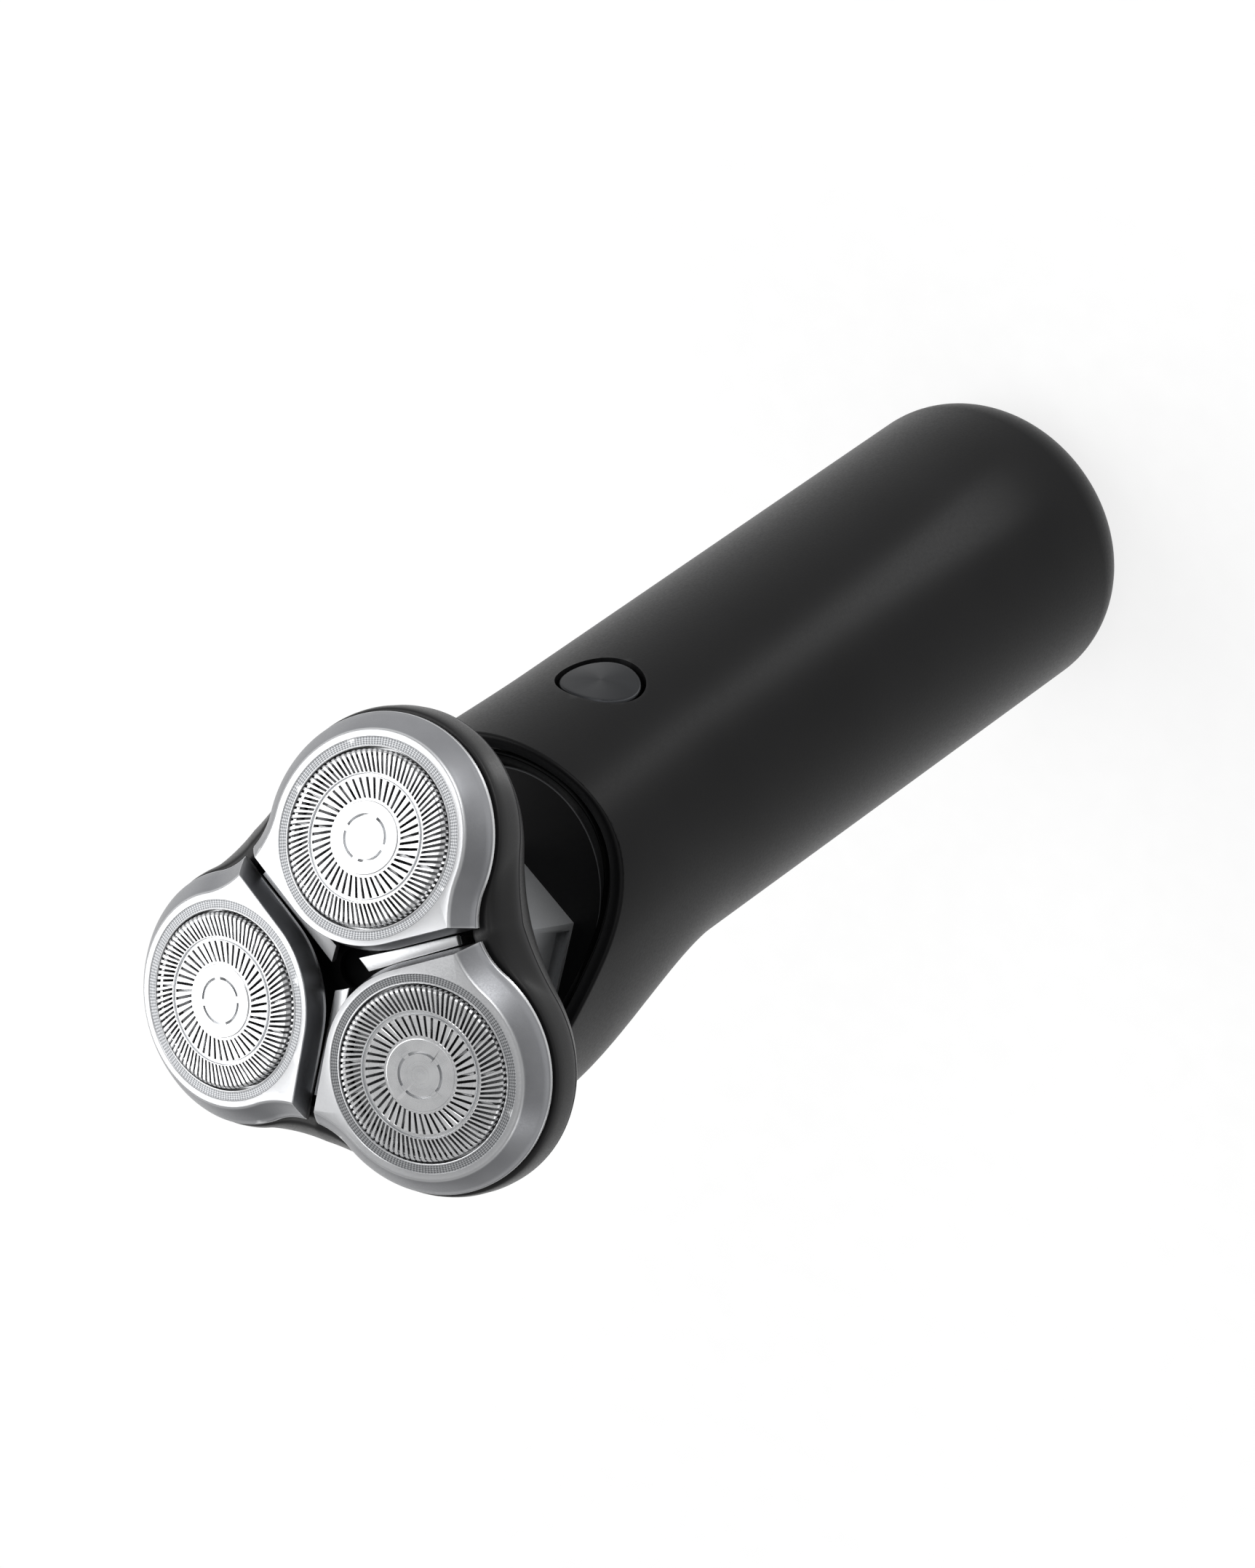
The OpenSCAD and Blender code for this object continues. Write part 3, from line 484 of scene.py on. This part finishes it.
def sintered_magnet():
    # Sintered ferrite: charcoal and dull, with open pits
    material, tree, shader, place = start_finish("sintered_ferrite", Metallic=0.3)
    pits = cells(tree, place, 0.5).outputs["Distance"]
    colour = tint(tree, pits, "#2c2d30", "#44464a")
    surface(tree, shader, colour, between(tree, pits, 0.55, 0.75), pits, 0.03, 0.5)
    return material


def pale_floor():
    # Back-lit matt white sheet: almost featureless, with the faintest tooth
    material, tree, shader, place = start_finish(
        "matt_white_sheet", Emission_Color=(1, 1, 1, 1), Emission_Strength=0.8)
    tooth = grain(tree, place, 4)
    surface(tree, shader, tint(tree, tooth, "#7e7e7e", "#848484"), between(tree, tooth, 0.85, 0.95))
    return material


FINISH = {
    "soft_black": soft_touch_abs(),
    "gloss_black": gloss_abs(),
    "head_black": satin_abs(),
    "inner_black": plain_plastic("moulded_black_nylon", "#060607", "#0d0d0e", 0.5, shine=0.12),
    "chassis_grey": plain_plastic("moulded_grey_nylon", "#34373b", "#42454b", 0.55),
    "neck_grey": metallic_paint(),
    "button_metal": spun_aluminium(),
    "satin_steel": blasted_steel(),
    "cutter_steel": ground_steel(),
    "blade_steel": plain_steel("hardened_blade_steel", "#3c3d40", "#505154", 0.42),
    "bright_steel": plain_steel("drawn_bright_steel", "#b3b4b6", "#cccdd0"),
    "natural_nylon": natural_nylon(),
    "seal_rubber": seal_rubber(),
    "board_green": board_laminate(),
    "chip_black": plain_plastic("moulded_epoxy", "#18181a", "#28282b", 0.45, 0.2),
    "cell_sleeve": cell_sleeve(),
    "winding_copper": wound_copper(),
    "magnet_dark": sintered_magnet(),
}


# ---- mesh helpers ----
def smooth(t):
    u = min(1.0, max(0.0, t))
    return u * u * (3 - 2 * u)


def mix(a, b, t):
    return a + (b - a) * t


def skin(rows, loop=False):
    """Points and faces of a skin through rows; a row of one point is a pole, and loop joins the ends."""
    points, starts, faces = [], [], []
    for row in rows:
        starts.append(len(points))
        points += row
    last = len(rows) if loop else len(rows) - 1
    for a in range(last):
        b = (a + 1) % len(rows)
        count_a, count_b = len(rows[a]), len(rows[b])
        for i in range(max(count_a, count_b)):
            ring = (starts[a] + i % count_a, starts[a] + (i + 1) % count_a,
                    starts[b] + (i + 1) % count_b, starts[b] + i % count_b)
            faces.append(list(dict.fromkeys(ring)))
    return points, faces


def closed(rows):
    """Adds a pole in the middle of the first row and of the last, so that the skin has no open end."""
    ends = [[tuple(sum(axis) / len(row) for axis in zip(*row))] for row in (rows[0], rows[-1])]
    return [ends[0]] + rows + [ends[1]]


def box_rows(x_low, x_high, half, z_low, z_high):
    return [[(x_low, -half, z), (x_high, -half, z), (x_high, half, z), (x_low, half, z)]
            for z in (z_low, z_high)]


def circle(radius, z, count=96, phase=0.0):
    return [(radius * cos(2 * pi * i / count + phase), radius * sin(2 * pi * i / count + phase), z)
            for i in range(count)]


def lathe(profile, count=96, loop=True):
    """Skin of a turned piece: profile lists (radius, height); radius 0 makes a pole."""
    rows = [[(0.0, 0.0, z)] if r == 0 else circle(r, z, count) for r, z in profile]
    return skin(rows, loop)


def face_outwards(mesh):
    """Turns every face round if the closed skin encloses a negative volume."""
    shape = bmesh.new()
    shape.from_mesh(mesh)
    if shape.calc_volume(signed=True) < 0:
        bmesh.ops.reverse_faces(shape, faces=shape.faces)
    shape.to_mesh(mesh)
    shape.free()


def soften(mesh, angle=32):
    """Smooth shading, kept sharp where two faces meet at more than the angle."""
    mesh.shade_smooth()
    mesh.set_sharp_from_angle(angle=radians(angle))


def new_mesh(name, shape, place=ROW, angle=32):
    """A mesh object from points in millimetres; each point's own place is kept for patterns."""
    points, faces = shape
    mesh = bpy.data.meshes.new(name)
    mesh.from_pydata([Vector(p) for p in points], [], faces)
    own = mesh.attributes.new("own", "FLOAT_VECTOR", "POINT")
    own.data.foreach_set("vector", [value for p in points for value in p])
    mesh.transform(place)
    face_outwards(mesh)
    soften(mesh, angle)
    piece = bpy.data.objects.new(name, mesh)
    bpy.context.scene.collection.objects.link(piece)
    return piece


def apply_modifiers(piece):
    """Bakes the piece's modifiers into its mesh."""
    graph = bpy.context.evaluated_depsgraph_get()
    mesh = bpy.data.meshes.new_from_object(piece.evaluated_get(graph), depsgraph=graph)
    piece.modifiers.clear()
    old, piece.data = piece.data, mesh
    mesh.name = piece.name
    bpy.data.meshes.remove(old)
    return piece


def cut(piece, *cutters, angle=32):
    """Takes the cutters' volume out of the piece and removes them."""
    for cutter in cutters:
        modifier = piece.modifiers.new("cut", "BOOLEAN")
        modifier.operation = "DIFFERENCE"
        modifier.solver = "EXACT"
        modifier.object = cutter
        apply_modifiers(piece)
        bpy.data.objects.remove(cutter)
    soften(piece.data, angle)
    return piece


def join(piece, *others):
    """Adds the other meshes to the piece and removes them."""
    shape = bmesh.new()
    for part in (piece, *others):
        shape.from_mesh(part.data)
    shape.to_mesh(piece.data)
    shape.free()
    for part in others:
        bpy.data.objects.remove(part)
    return piece


def fit(piece, body, slot, *nodes):
    """Gives a finished piece its material, its body and the parts that it stands for."""
    piece.data.materials.clear()
    piece.data.materials.append(FINISH[slot])
    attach(piece, body)
    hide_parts(*nodes)
    return piece


def repeat_tree():
    """Geometry Nodes: copies the piece round its own Z axis, makes the copies real and paints them."""
    tree = bpy.data.node_groups.new("repeat_round_axis", "GeometryNodeTree")
    face = tree.interface
    face.new_socket("Geometry", in_out="INPUT", socket_type="NodeSocketGeometry")
    count = face.new_socket("Count", in_out="INPUT", socket_type="NodeSocketInt")
    finish = face.new_socket("Finish", in_out="INPUT", socket_type="NodeSocketMaterial")
    face.new_socket("Geometry", in_out="OUTPUT", socket_type="NodeSocketGeometry")
    given = add(tree, "NodeGroupInput")
    spots = add(tree, "GeometryNodeMeshLine", {"Count": given.outputs["Count"], "Offset": (0, 0, 0)})
    step = add(tree, "ShaderNodeMath", {0: 2 * pi, 1: given.outputs["Count"]}, operation="DIVIDE")
    turn = add(tree, "ShaderNodeMath", {0: add(tree, "GeometryNodeInputIndex").outputs["Index"],
                                        1: step.outputs["Value"]}, operation="MULTIPLY")
    angles = add(tree, "ShaderNodeCombineXYZ", {"Z": turn.outputs["Value"]})
    copies = add(tree, "GeometryNodeInstanceOnPoints", {
        "Points": spots.outputs["Mesh"], "Instance": given.outputs["Geometry"],
        "Rotation": angles.outputs["Vector"]})
    solid = add(tree, "GeometryNodeRealizeInstances", {"Geometry": copies.outputs["Instances"]})
    paint = add(tree, "GeometryNodeSetMaterial", {"Geometry": solid.outputs["Geometry"],
                                                  "Material": given.outputs["Finish"]})
    add(tree, "NodeGroupOutput", {"Geometry": paint.outputs["Geometry"]})
    return tree, count.identifier, finish.identifier


REPEAT, REPEAT_COUNT, REPEAT_FINISH = repeat_tree()


def repeat_round(name, shape, count, slot, place, angle=32):
    """Makes the shape once, repeats it round its own axis with the nodes above, and places the result."""
    piece = new_mesh(name, shape, Matrix.Identity(4), angle)
    modifier = piece.modifiers.new("repeat", "NODES")
    modifier.node_group = REPEAT
    modifier[REPEAT_COUNT] = count
    modifier[REPEAT_FINISH] = FINISH[slot]
    apply_modifiers(piece)
    points = [value for vertex in piece.data.vertices for value in vertex.co]
    piece.data.attributes["own"].data.foreach_set("vector", points)
    piece.data.transform(place)
    soften(piece.data, angle)
    return piece


# ---- handle ----
def flare(z):
    return smooth((z - FLARE_LOW) / (FLARE_HIGH - FLARE_LOW))


def rim(y):
    return mix(RIM_FRONT, RIM_BACK, smooth((y + RIM_START) / (2 * HANDLE_R - 2.3)))


def mouth_floor(y):
    return FLOOR_Z + sin(TILT) / cos(TILT) * y


def section(a, z, off):
    """Point of the handle's outline at angle a and height z, pulled in by off."""
    back = FLARE_BACK * flare(z) if sin(a) > 0 else 0.0
    return (HANDLE_R + FLARE_SIDE * flare(z) - off) * cos(a), (HANDLE_R + back - off) * sin(a)


def handle_ring(t, off, low=TUBE_TOP, drop=0.0, count=160):
    """Ring round the handle: t runs from the level low to the mouth's floor (1) and on to its rim (2)."""
    row = []
    for i in range(count):
        a = 2 * pi * i / count
        z = 120.0
        for _ in range(8):
            y = section(a, z, off)[1]
            z = mix(low, mouth_floor(y), t) if t <= 1 else mix(mouth_floor(y), rim(y) - drop, t - 1)
        row.append((*section(a, z, off), z))
    return row


def port_shape(grow, depth, count=24):
    """Stadium-shaped prism that points along the back, for the charging opening."""
    outline = [((3 if cos(a) > 0 else -3) + (1.6 + grow) * cos(a), (1.6 + grow) * sin(a))
               for a in (2 * pi * (i + 0.5) / count for i in range(count))]
    rows = [[(x, y, PORT_Z + z) for x, z in outline] for y in (HANDLE_R - depth, HANDLE_R + 2)]
    rows = [[(0.0, HANDLE_R - depth, PORT_Z)]] + rows + [[(0.0, HANDLE_R + 2, PORT_Z)]]
    return skin(rows)


def make_body_shell():
    count = 160
    flat = HANDLE_R - TAIL_ROUND
    tail = [[(0.0, 0.0, 0.0)], circle(flat * 0.6, 0, count), circle(flat - 0.6, 0, count)]
    tail += [circle(flat + TAIL_ROUND * sin(a), TAIL_ROUND * (1 - cos(a)), count)
             for a in (radians(4 * k) for k in range(23))]
    tube = [circle(HANDLE_R, z, count) for z in (18, 30, 45, 60, 72, 80)]
    outer = [handle_ring(t / 26, 0.0) for t in range(27)]
    outer += [handle_ring(1 + t / 12, 0.0) for t in range(1, 12)]
    lip = [handle_ring(2, 0.45 * (1 - cos(a)), drop=0.45 * (1 - sin(a))) for a in
           (radians(18 * k) for k in range(6))]
    lip += [handle_ring(2, off, drop=drop) for off, drop in ((1.1, 0.12), (WALL - 0.2, 0.45), (WALL, 0.8))]
    inner = [handle_ring(1.5, WALL), handle_ring(1, WALL), handle_ring(0.6, WALL), handle_ring(0.3, WALL),
             handle_ring(0, WALL)]
    inside = HANDLE_R - WALL
    inner_round = TAIL_ROUND - WALL
    inner_flat = inside - inner_round
    well = [circle(inside, z, count) for z in (72, 45, 18)]
    well += [circle(inner_flat + inner_round * cos(a), WALL + inner_round * (1 - sin(a)), count)
             for a in (radians(10 * k) for k in range(10))]
    shape = skin(tail + tube + outer + lip + inner + well + [[(0.0, 0.0, WALL)]])
    shell = new_mesh("handle_shell", shape)
    hole_r, low, high = BUTTON_R + BUTTON_GAP, HANDLE_R - 6, HANDLE_R + 3
    drill = lathe([(0, low), (hole_r, low), (hole_r, high), (0, high)], 72, False)
    hole = new_mesh("button_hole", drill, BUTTON)
    port = new_mesh("port_hole", port_shape(0.25, 5))
    cut(shell, hole, port)
    fit(shell, "handle", "soft_black", "body_shell")


def make_mouth_liner():
    """Glossy lining: a thin edge just inside the rim, bright from a painted highlight, then a wall that curves in
    to the floor.
    """
    def inset(t):
        return WALL + 0.95 + 2.6 * (1 - (t - 1.01) / 0.99) ** 3
    drop = 0.9
    outer = [handle_ring(t, WALL + 0.12, drop=drop) for t in (1.01, 1.3, 1.6, 1.85, 1.99)]
    edge = [handle_ring(2, WALL + 0.2, drop=drop), handle_ring(2, WALL + 0.7, drop=drop),
            handle_ring(2, WALL + 0.85, drop=drop + 0.05), handle_ring(2, WALL + 0.95, drop=drop + 0.2)]
    inner = [handle_ring(1.01 + 0.97 * (1 - k / 16), inset(1.01 + 0.97 * (1 - k / 16)), drop=drop)
             for k in range(17)]
    lining = new_mesh("mouth_lining", skin(outer + edge + inner, True), angle=24)
    fit(lining, "handle", "gloss_black", "mouth_liner")


def rounded_copy(name, node, width, segments=3, angle=30):
    """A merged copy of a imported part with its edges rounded."""
    source = frame["nodes"][node]
    mesh = source.data.copy()
    shape = bmesh.new()
    shape.from_mesh(mesh)
    bmesh.ops.remove_doubles(shape, verts=shape.verts, dist=1e-6)
    bmesh.ops.dissolve_limit(shape, angle_limit=radians(1.5), verts=shape.verts, edges=shape.edges)
    shape.to_mesh(mesh)
    shape.free()
    piece = bpy.data.objects.new(name, mesh)
    bpy.context.scene.collection.objects.link(piece)
    bevel = piece.modifiers.new("round", "BEVEL")
    bevel.width = width * MM
    bevel.segments = segments
    bevel.limit_method = "ANGLE"
    bevel.angle_limit = radians(angle)
    bevel.use_clamp_overlap = True
    apply_modifiers(piece)
    soften(piece.data, 40)
    return piece


def make_button():
    """Round key whose face follows the handle, with a fine polished chamfer."""
    face_r = HANDLE_R - 0.2
    count = 96

    def on_face(r, sunk):
        return [(r * cos(a), r * sin(a), sqrt(face_r ** 2 - (r * cos(a)) ** 2) - sunk)
                for a in (2 * pi * i / count for i in range(count))]
    radii = [BUTTON_R * k / 14 for k in range(1, 14)]
    rows = [[(0.0, 0.0, face_r)]] + [on_face(r, 0) for r in radii[:-1]]
    rows += [on_face(BUTTON_R - 0.42, 0), on_face(BUTTON_R - 0.3, 0.02), on_face(BUTTON_R - 0.1, 0.16),
             on_face(BUTTON_R, 0.34), on_face(BUTTON_R, 0.9)]
    back = 17.0
    stem_low = 15.2
    rows += [circle(BUTTON_R, back, count), circle(1.5, back, count), circle(1.5, stem_low, count),
             [(0.0, 0.0, stem_low)]]
    key = new_mesh("power_key", skin(rows), BUTTON, 24)
    turned = key.data.uv_layers.new(name="turned")
    to_own = BUTTON.inverted()
    for face in key.data.polygons:
        angles = []
        for corner in face.loop_indices:
            p = to_own @ key.data.vertices[key.data.loops[corner].vertex_index].co
            r = hypot(p.x, p.y)
            angles.append([atan2(p.y, p.x) / (2 * pi) if r > 1e-4 else None, r / 10])
        known = [a for a, _ in angles if a is not None]
        for corner, (a, r) in zip(face.loop_indices, angles):
            if a is None:
                a = sum(known) / len(known) if max(known) - min(known) < 0.5 else 0.5
            if max(known) - min(known) > 0.5 and a < 0:
                a += 1
            turned.data[corner].uv = (a, r)
    fit(key, "button", "button_metal", "power_button")


# ---- head ----
def flank_reach(c, r, rf):
    return (c + sqrt(4 * (r + rf) ** 2 - 3 * c * c)) / 2


def lobe_half(c, r, rf, g, single):
    """Half a lobe's outline: a round end, a hollow flank and, on a single plate, a small inner arc."""
    q = flank_reach(c, r, rf)
    fx, fy = q / 2 - c, q * sin(radians(60))
    a0 = atan2(fy, fx)
    a1 = radians(240) + asin(g / rf)
    inner = c * sin(radians(60)) - g
    half = [(r * cos(a0 * k / 40), r * sin(a0 * k / 40)) for k in range(41)]
    half += [(fx + rf * cos(mix(a0 + pi, a1, k / 18)), fy + rf * sin(mix(a0 + pi, a1, k / 18)))
             for k in range(1, 19)]
    if single:
        start, end = half[-1], (inner * cos(radians(150)), inner * sin(radians(150)))
        half += [(mix(start[0], end[0], k / 10), mix(start[1], end[1], k / 10)) for k in range(1, 10)]
        half += [(inner * cos(radians(a)), inner * sin(radians(a))) for a in range(150, 181, 3)]
    return half


def plate_row(h, r, rf, g):
    """Outline of one cutter's plate at height h in the cutter's own frame."""
    half = lobe_half(PITCH + h * sin(LEAN), r, rf, g, True)
    return [(x, -y, h) for x, y in half[-2:0:-1]] + [(x, y, h) for x, y in half]


def head_row(h, r, rf, lean=1.0):
    """Outline of the whole three-lobed head, leaning with the cutters."""
    c = PITCH + h * sin(LEAN)
    half = lobe_half(c, r, rf, 0, False)
    lobe = [(x, -y) for x, y in half[:0:-1]] + half[:-1]
    row = []
    for i in range(3):
        a = radians(120 * i - 90)
        for x, y in lobe:
            w = h * mix(1, cos(LEAN), lean) - x * sin(LEAN) * lean
            row.append(((c + x) * cos(a) - y * sin(a), (c + x) * sin(a) + y * cos(a), w))
    return row


def make_head_carrier():
    """Black outer wall; each row is a level, a lobe radius and a flank radius."""
    wall = [(-7.68, 16.1, 35), (-7.0, 16.1, 31), (-6.2, 16.0, 24), (-5.2, 15.9, 18), (-4.6, 15.75, 15),
            (-4.2, 15.6, 13.6), (-4.0, 15.45, 12.6), (-3.95, 15.25, 12), (-3.95, 14.0, 11.2),
            (-4.2, 13.6, 11.5), (-5.2, 14.5, 15), (-7.68, 15.1, 35)]
    shape = skin([head_row(*row) for row in wall], True)
    fit(new_mesh("head_wall", shape, HEAD, 40), "head", "head_black", "head_carrier")


def make_under_cover():
    """Lower shell, from its flat floor up to the wall, with the collar that hides the neck's top."""
    low, top = -12.55, -11.35
    shell = [(low, 12.0, 36, 0), (low, 13.4, 36, 0), (low + 0.12, 13.9, 36, 0), (low + 0.5, 14.35, 36, 0.05),
             (-11.4, 14.85, 36, 0.2), (-10.6, 15.35, 35.5, 0.4), (-9.6, 15.75, 35, 0.65),
             (-8.6, 16.0, 35, 0.88), (-7.95, 16.1, 35, 1), (-7.85, 16.0, 35, 1), (-7.85, 15.1, 35, 1),
             (-10, 14.4, 35, 0.5), (top, 13.4, 36, 0), (top, 12.0, 36, 0)]
    cover = new_mesh("head_underside", skin([head_row(*row) for row in shell], True), HEAD, 40)
    centre = Vector(joints["head_pitch"]["pos_m"])
    gimbal = (HEAD.inverted() @ centre).z
    collar_low, collar_in, collar_out = low - 4.5, NECK_CORNER + 0.9, NECK_CORNER + 1.9
    collar = new_mesh("collar", lathe([
        (5.5, low + 0.2), (collar_in, low + 0.2), (collar_in, collar_low + 0.15),
        (collar_in + 0.15, collar_low), (collar_out - 0.15, collar_low), (collar_out, collar_low + 0.15),
        (collar_out, top - 0.2), (4.4, top - 0.2), (4.4, low - 0.6), (4.4, gimbal - 2.4),
        (5.5, gimbal - 2.4)]), HEAD)
    fit(join(cover, collar), "head", "head_black", "under_cover")


def make_bars():
    """Three bright bars on legs in the gaps between the cutters, and a ring under their ends painted black as
    shade.
    """
    top, thick, outer = -1.9, 1.0, PITCH - 0.6
    low = top - thick
    rows = []
    for z, shrink in ((low, 0.15), (low + 0.15, 0), (top - 0.16, 0), (top - 0.05, 0.05), (top, 0.16)):
        rows.append([(2.0 + shrink, 0.95 - shrink, z), (2.9 + shrink, shrink - 0.95, z),
                     (outer - shrink, shrink - 0.62, z), (outer - shrink, 0.62 - shrink, z)])
    bar = skin(closed(rows))
    foot = skin(closed(box_rows(2.9, 3.7, 0.4, top - 3, low + 0.05)))
    leg = skin(closed(box_rows(PITCH - 2.2, outer, 0.5, -6.1, low + 0.05)))
    place = HEAD @ Matrix.Rotation(radians(90), 4, "Z")
    bars, feet, legs = (repeat_round(name, shape, 3, "satin_steel", place)
                        for name, shape in (("gap_bars", bar), ("feet", foot), ("legs", leg)))
    ring_low, ring_top = top - 3.4, top - 2.6
    band = lathe([(2.5, ring_low), (3.6, ring_low), (3.6, ring_top), (2.5, ring_top)], 48)
    ring = new_mesh("bar_hub_painted_shade", band, HEAD)
    join(bars, legs)
    # The bars are plain steel: with no place of their own, they take none of a plate's knurled band and painted
    # skirt shade
    no_place = [0.0] * (3 * len(bars.data.vertices))
    bars.data.attributes["own"].data.foreach_set("vector", no_place)
    fit(bars, "head", "satin_steel", "blade_frame")
    # The ring and feet are steel in the part; they are painted black as shade under the bars' inner ends.
    fit(join(ring, feet), "head", "inner_black")


def make_plate(side):
    """Steel plate of one cutter: sloping skirt with a lip, flat top, and a ringed edge round the guard."""
    def row(s, h, extra=0.0):
        flank, gap = mix(12.8, 9, s), mix(1.5, 0.75, s)
        return plate_row(h, mix(PLATE_R, SKIRT_R, s) + extra, flank, gap)
    foot = -2.72
    outer = [row(1, -PLATE_H), row(1, -PLATE_H + 0.42), row(0.99, -PLATE_H + 0.5, -0.05)]
    outer += [row(0.97, foot, -0.08)]
    outer += [row(s, foot * s ** 1.15 - 0.06) for s in (0.9, 0.75, 0.6, 0.45, 0.3, 0.18, 0.1)]
    outer += [row(0.05, -0.09), row(0.0, -0.03), row(-0.04, -0.005), row(-0.08, 0)]
    angles = [atan2(p[1], p[0]) for p in outer[0]]

    def ring(r, h):
        return [(r * cos(a), r * sin(a), h) for a in angles]
    top = [ring(12.1, 0), ring(12.04, 0.02), ring(11.98, -0.02), ring(KNURL_OUT, -0.07),
           ring(11.5, -0.07), ring(KNURL_IN, -0.07), ring(11.0, 0.01), ring(10.92, 0.03),
           ring(10.84, 0.0), ring(BORE_R, -0.08), ring(BORE_R, -0.9)]
    under = [row(-0.15, -0.9), row(0.45, -1.75), row(0.78, -PLATE_H)]
    piece = new_mesh(side + "_cutter_plate", skin(outer + top + under, True), CUTTER[side], 28)
    fit(piece, side + "_segment", "satin_steel", side + "_plate")


def rib(path, count, swirl):
    """One rib of a slotted track: path lists (radius, height); its sides leave a slot of even width."""
    rows = []
    for k, (r, h) in enumerate(path):
        before, after = path[max(0, k - 1)], path[min(len(path) - 1, k + 1)]
        run, fall = after[0] - before[0], after[1] - before[1]
        size = hypot(run, fall)
        out_r, out_h = -fall / size, run / size
        half = (2 * pi * r / count - SLOT_W) / 2
        turn = swirl * (r - path[0][0]) / r
        row = []
        for side_way, depth in ((-0.85, RIB_T), (-1, 0.06), (-0.8, 0), (0.8, 0), (1, 0.06), (0.85, RIB_T)):
            rr, hh = r - out_r * depth, h - out_h * depth
            a = turn + side_way * half / r
            row.append((rr * cos(a), rr * sin(a), hh))
        rows.append(row)
    return skin(closed(rows))


def make_guard(side):
    """Slotted guard, proud of its plate: two tracks of ribs between rings, with a groove between them."""
    place, top, lap = CUTTER[side], GUARD_RISE, 0.12
    outer_in, inner_out, inner_in = 7.78, 7.14, 4.72
    edge = [(GUARD_R - 0.5 * (1 - sin(a)), top - 0.5 * (1 - cos(a)))
            for a in map(radians, (0, 22, 45, 68, 90))]
    outer_path = [(outer_in - lap, top), (8.4, top), (9.2, top)] + edge + [(GUARD_R, -0.5)]
    inner_path = [(inner_in - lap, top), (5.5, top), (6.3, top), (inner_out + lap, top)]
    outer_rib, inner_rib = rib(outer_path, OUTER_SLOTS, 0.35), rib(inner_path, INNER_SLOTS, 0.3)
    outer_ribs = repeat_round("outer_ribs", outer_rib, OUTER_SLOTS, "cutter_steel", place)
    inner_ribs = repeat_round("inner_ribs", inner_rib, INNER_SLOTS, "cutter_steel", place)
    middle = [(inner_out, -0.35), (inner_out, -0.05), (inner_out + 0.05, 0), (7.24, 0), (7.28, -0.05),
              (7.32, -0.3), (7.58, -0.3), (7.62, -0.05), (7.66, 0), (outer_in - 0.05, 0), (outer_in, -0.05),
              (outer_in, -0.35)]
    centre = [(3.6, 0), (inner_in - 0.04, 0), (inner_in, -0.04), (inner_in, -0.35), (3.6, -0.35)]
    flange_r, inside_r = GUARD_R + 0.65, GUARD_R - 0.35
    skirt = [(GUARD_R, -1.0), (GUARD_R, -2.5), (flange_r, -2.5), (flange_r, -3.0), (inside_r, -3.0),
             (inside_r, -1.0)]
    rings = [new_mesh("ring", lathe([(r, top + h) for r, h in profile]), place)
             for profile in (middle, centre, skirt)]
    piece = join(outer_ribs, inner_ribs, *rings)
    piece.name = side + "_slotted_guard"
    fit(piece, side + "_segment", "cutter_steel", side + "_guard")


def make_cap(side):
    """Flat round cap, just above its guard, with four engraved arcs."""
    place, low, top = CUTTER[side], GUARD_RISE, GUARD_RISE + CAP_H
    cap = new_mesh(side + "_centre_cap", lathe([
        (0, top), (2.0, top), (CAP_R - 0.1, top), (CAP_R - 0.03, top - 0.03), (CAP_R, top - 0.08),
        (CAP_R, low), (3.5, low), (3.5, low - 0.8), (0, low - 0.8)], 96, False), place)
    arc = radians(74)
    rows = [[(r * cos(a), r * sin(a), h) for r, h in
             ((2.56, low - 0.5), (2.9, low - 0.5), (2.9, top + 0.5), (2.56, top + 0.5))]
            for a in (arc * k / 16 for k in range(17))]
    cut(cap, repeat_round("arcs", skin(closed(rows)), 4, "cutter_steel", place), angle=15)
    fit(cap, side + "_segment", "cutter_steel", side + "_cap")


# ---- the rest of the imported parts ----
def finish_packed_parts():
    """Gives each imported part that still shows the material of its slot."""
    slots = {part["node"]: part["material_slot"] for part in frame["record"]["subparts"]}
    for name, node in frame["nodes"].items():
        if not node.hide_render:
            node.data.materials.clear()
            node.data.materials.append(FINISH["blade_steel" if name.endswith("_blade") else slots[name]])
            soften(node.data, 30)


def make_floor():
    half = 3.0
    mesh = bpy.data.meshes.new("floor")
    corners = [(-half, -half, 0), (half, -half, 0), (half, half, 0), (-half, half, 0)]
    mesh.from_pydata(corners, [], [(0, 1, 2, 3)])
    floor = bpy.data.objects.new("floor", mesh)
    bpy.context.scene.collection.objects.link(floor)
    mesh.materials.append(pale_floor())


add_camera()
add_light()
make_floor()
make_body_shell()
make_mouth_liner()
make_button()
fit(rounded_copy("neck_body", "neck", 0.35), "handle", "neck_grey", "neck")
make_head_carrier()
make_under_cover()
make_bars()
for side in SIDES:
    make_plate(side)
    make_guard(side)
    make_cap(side)
finish_packed_parts()
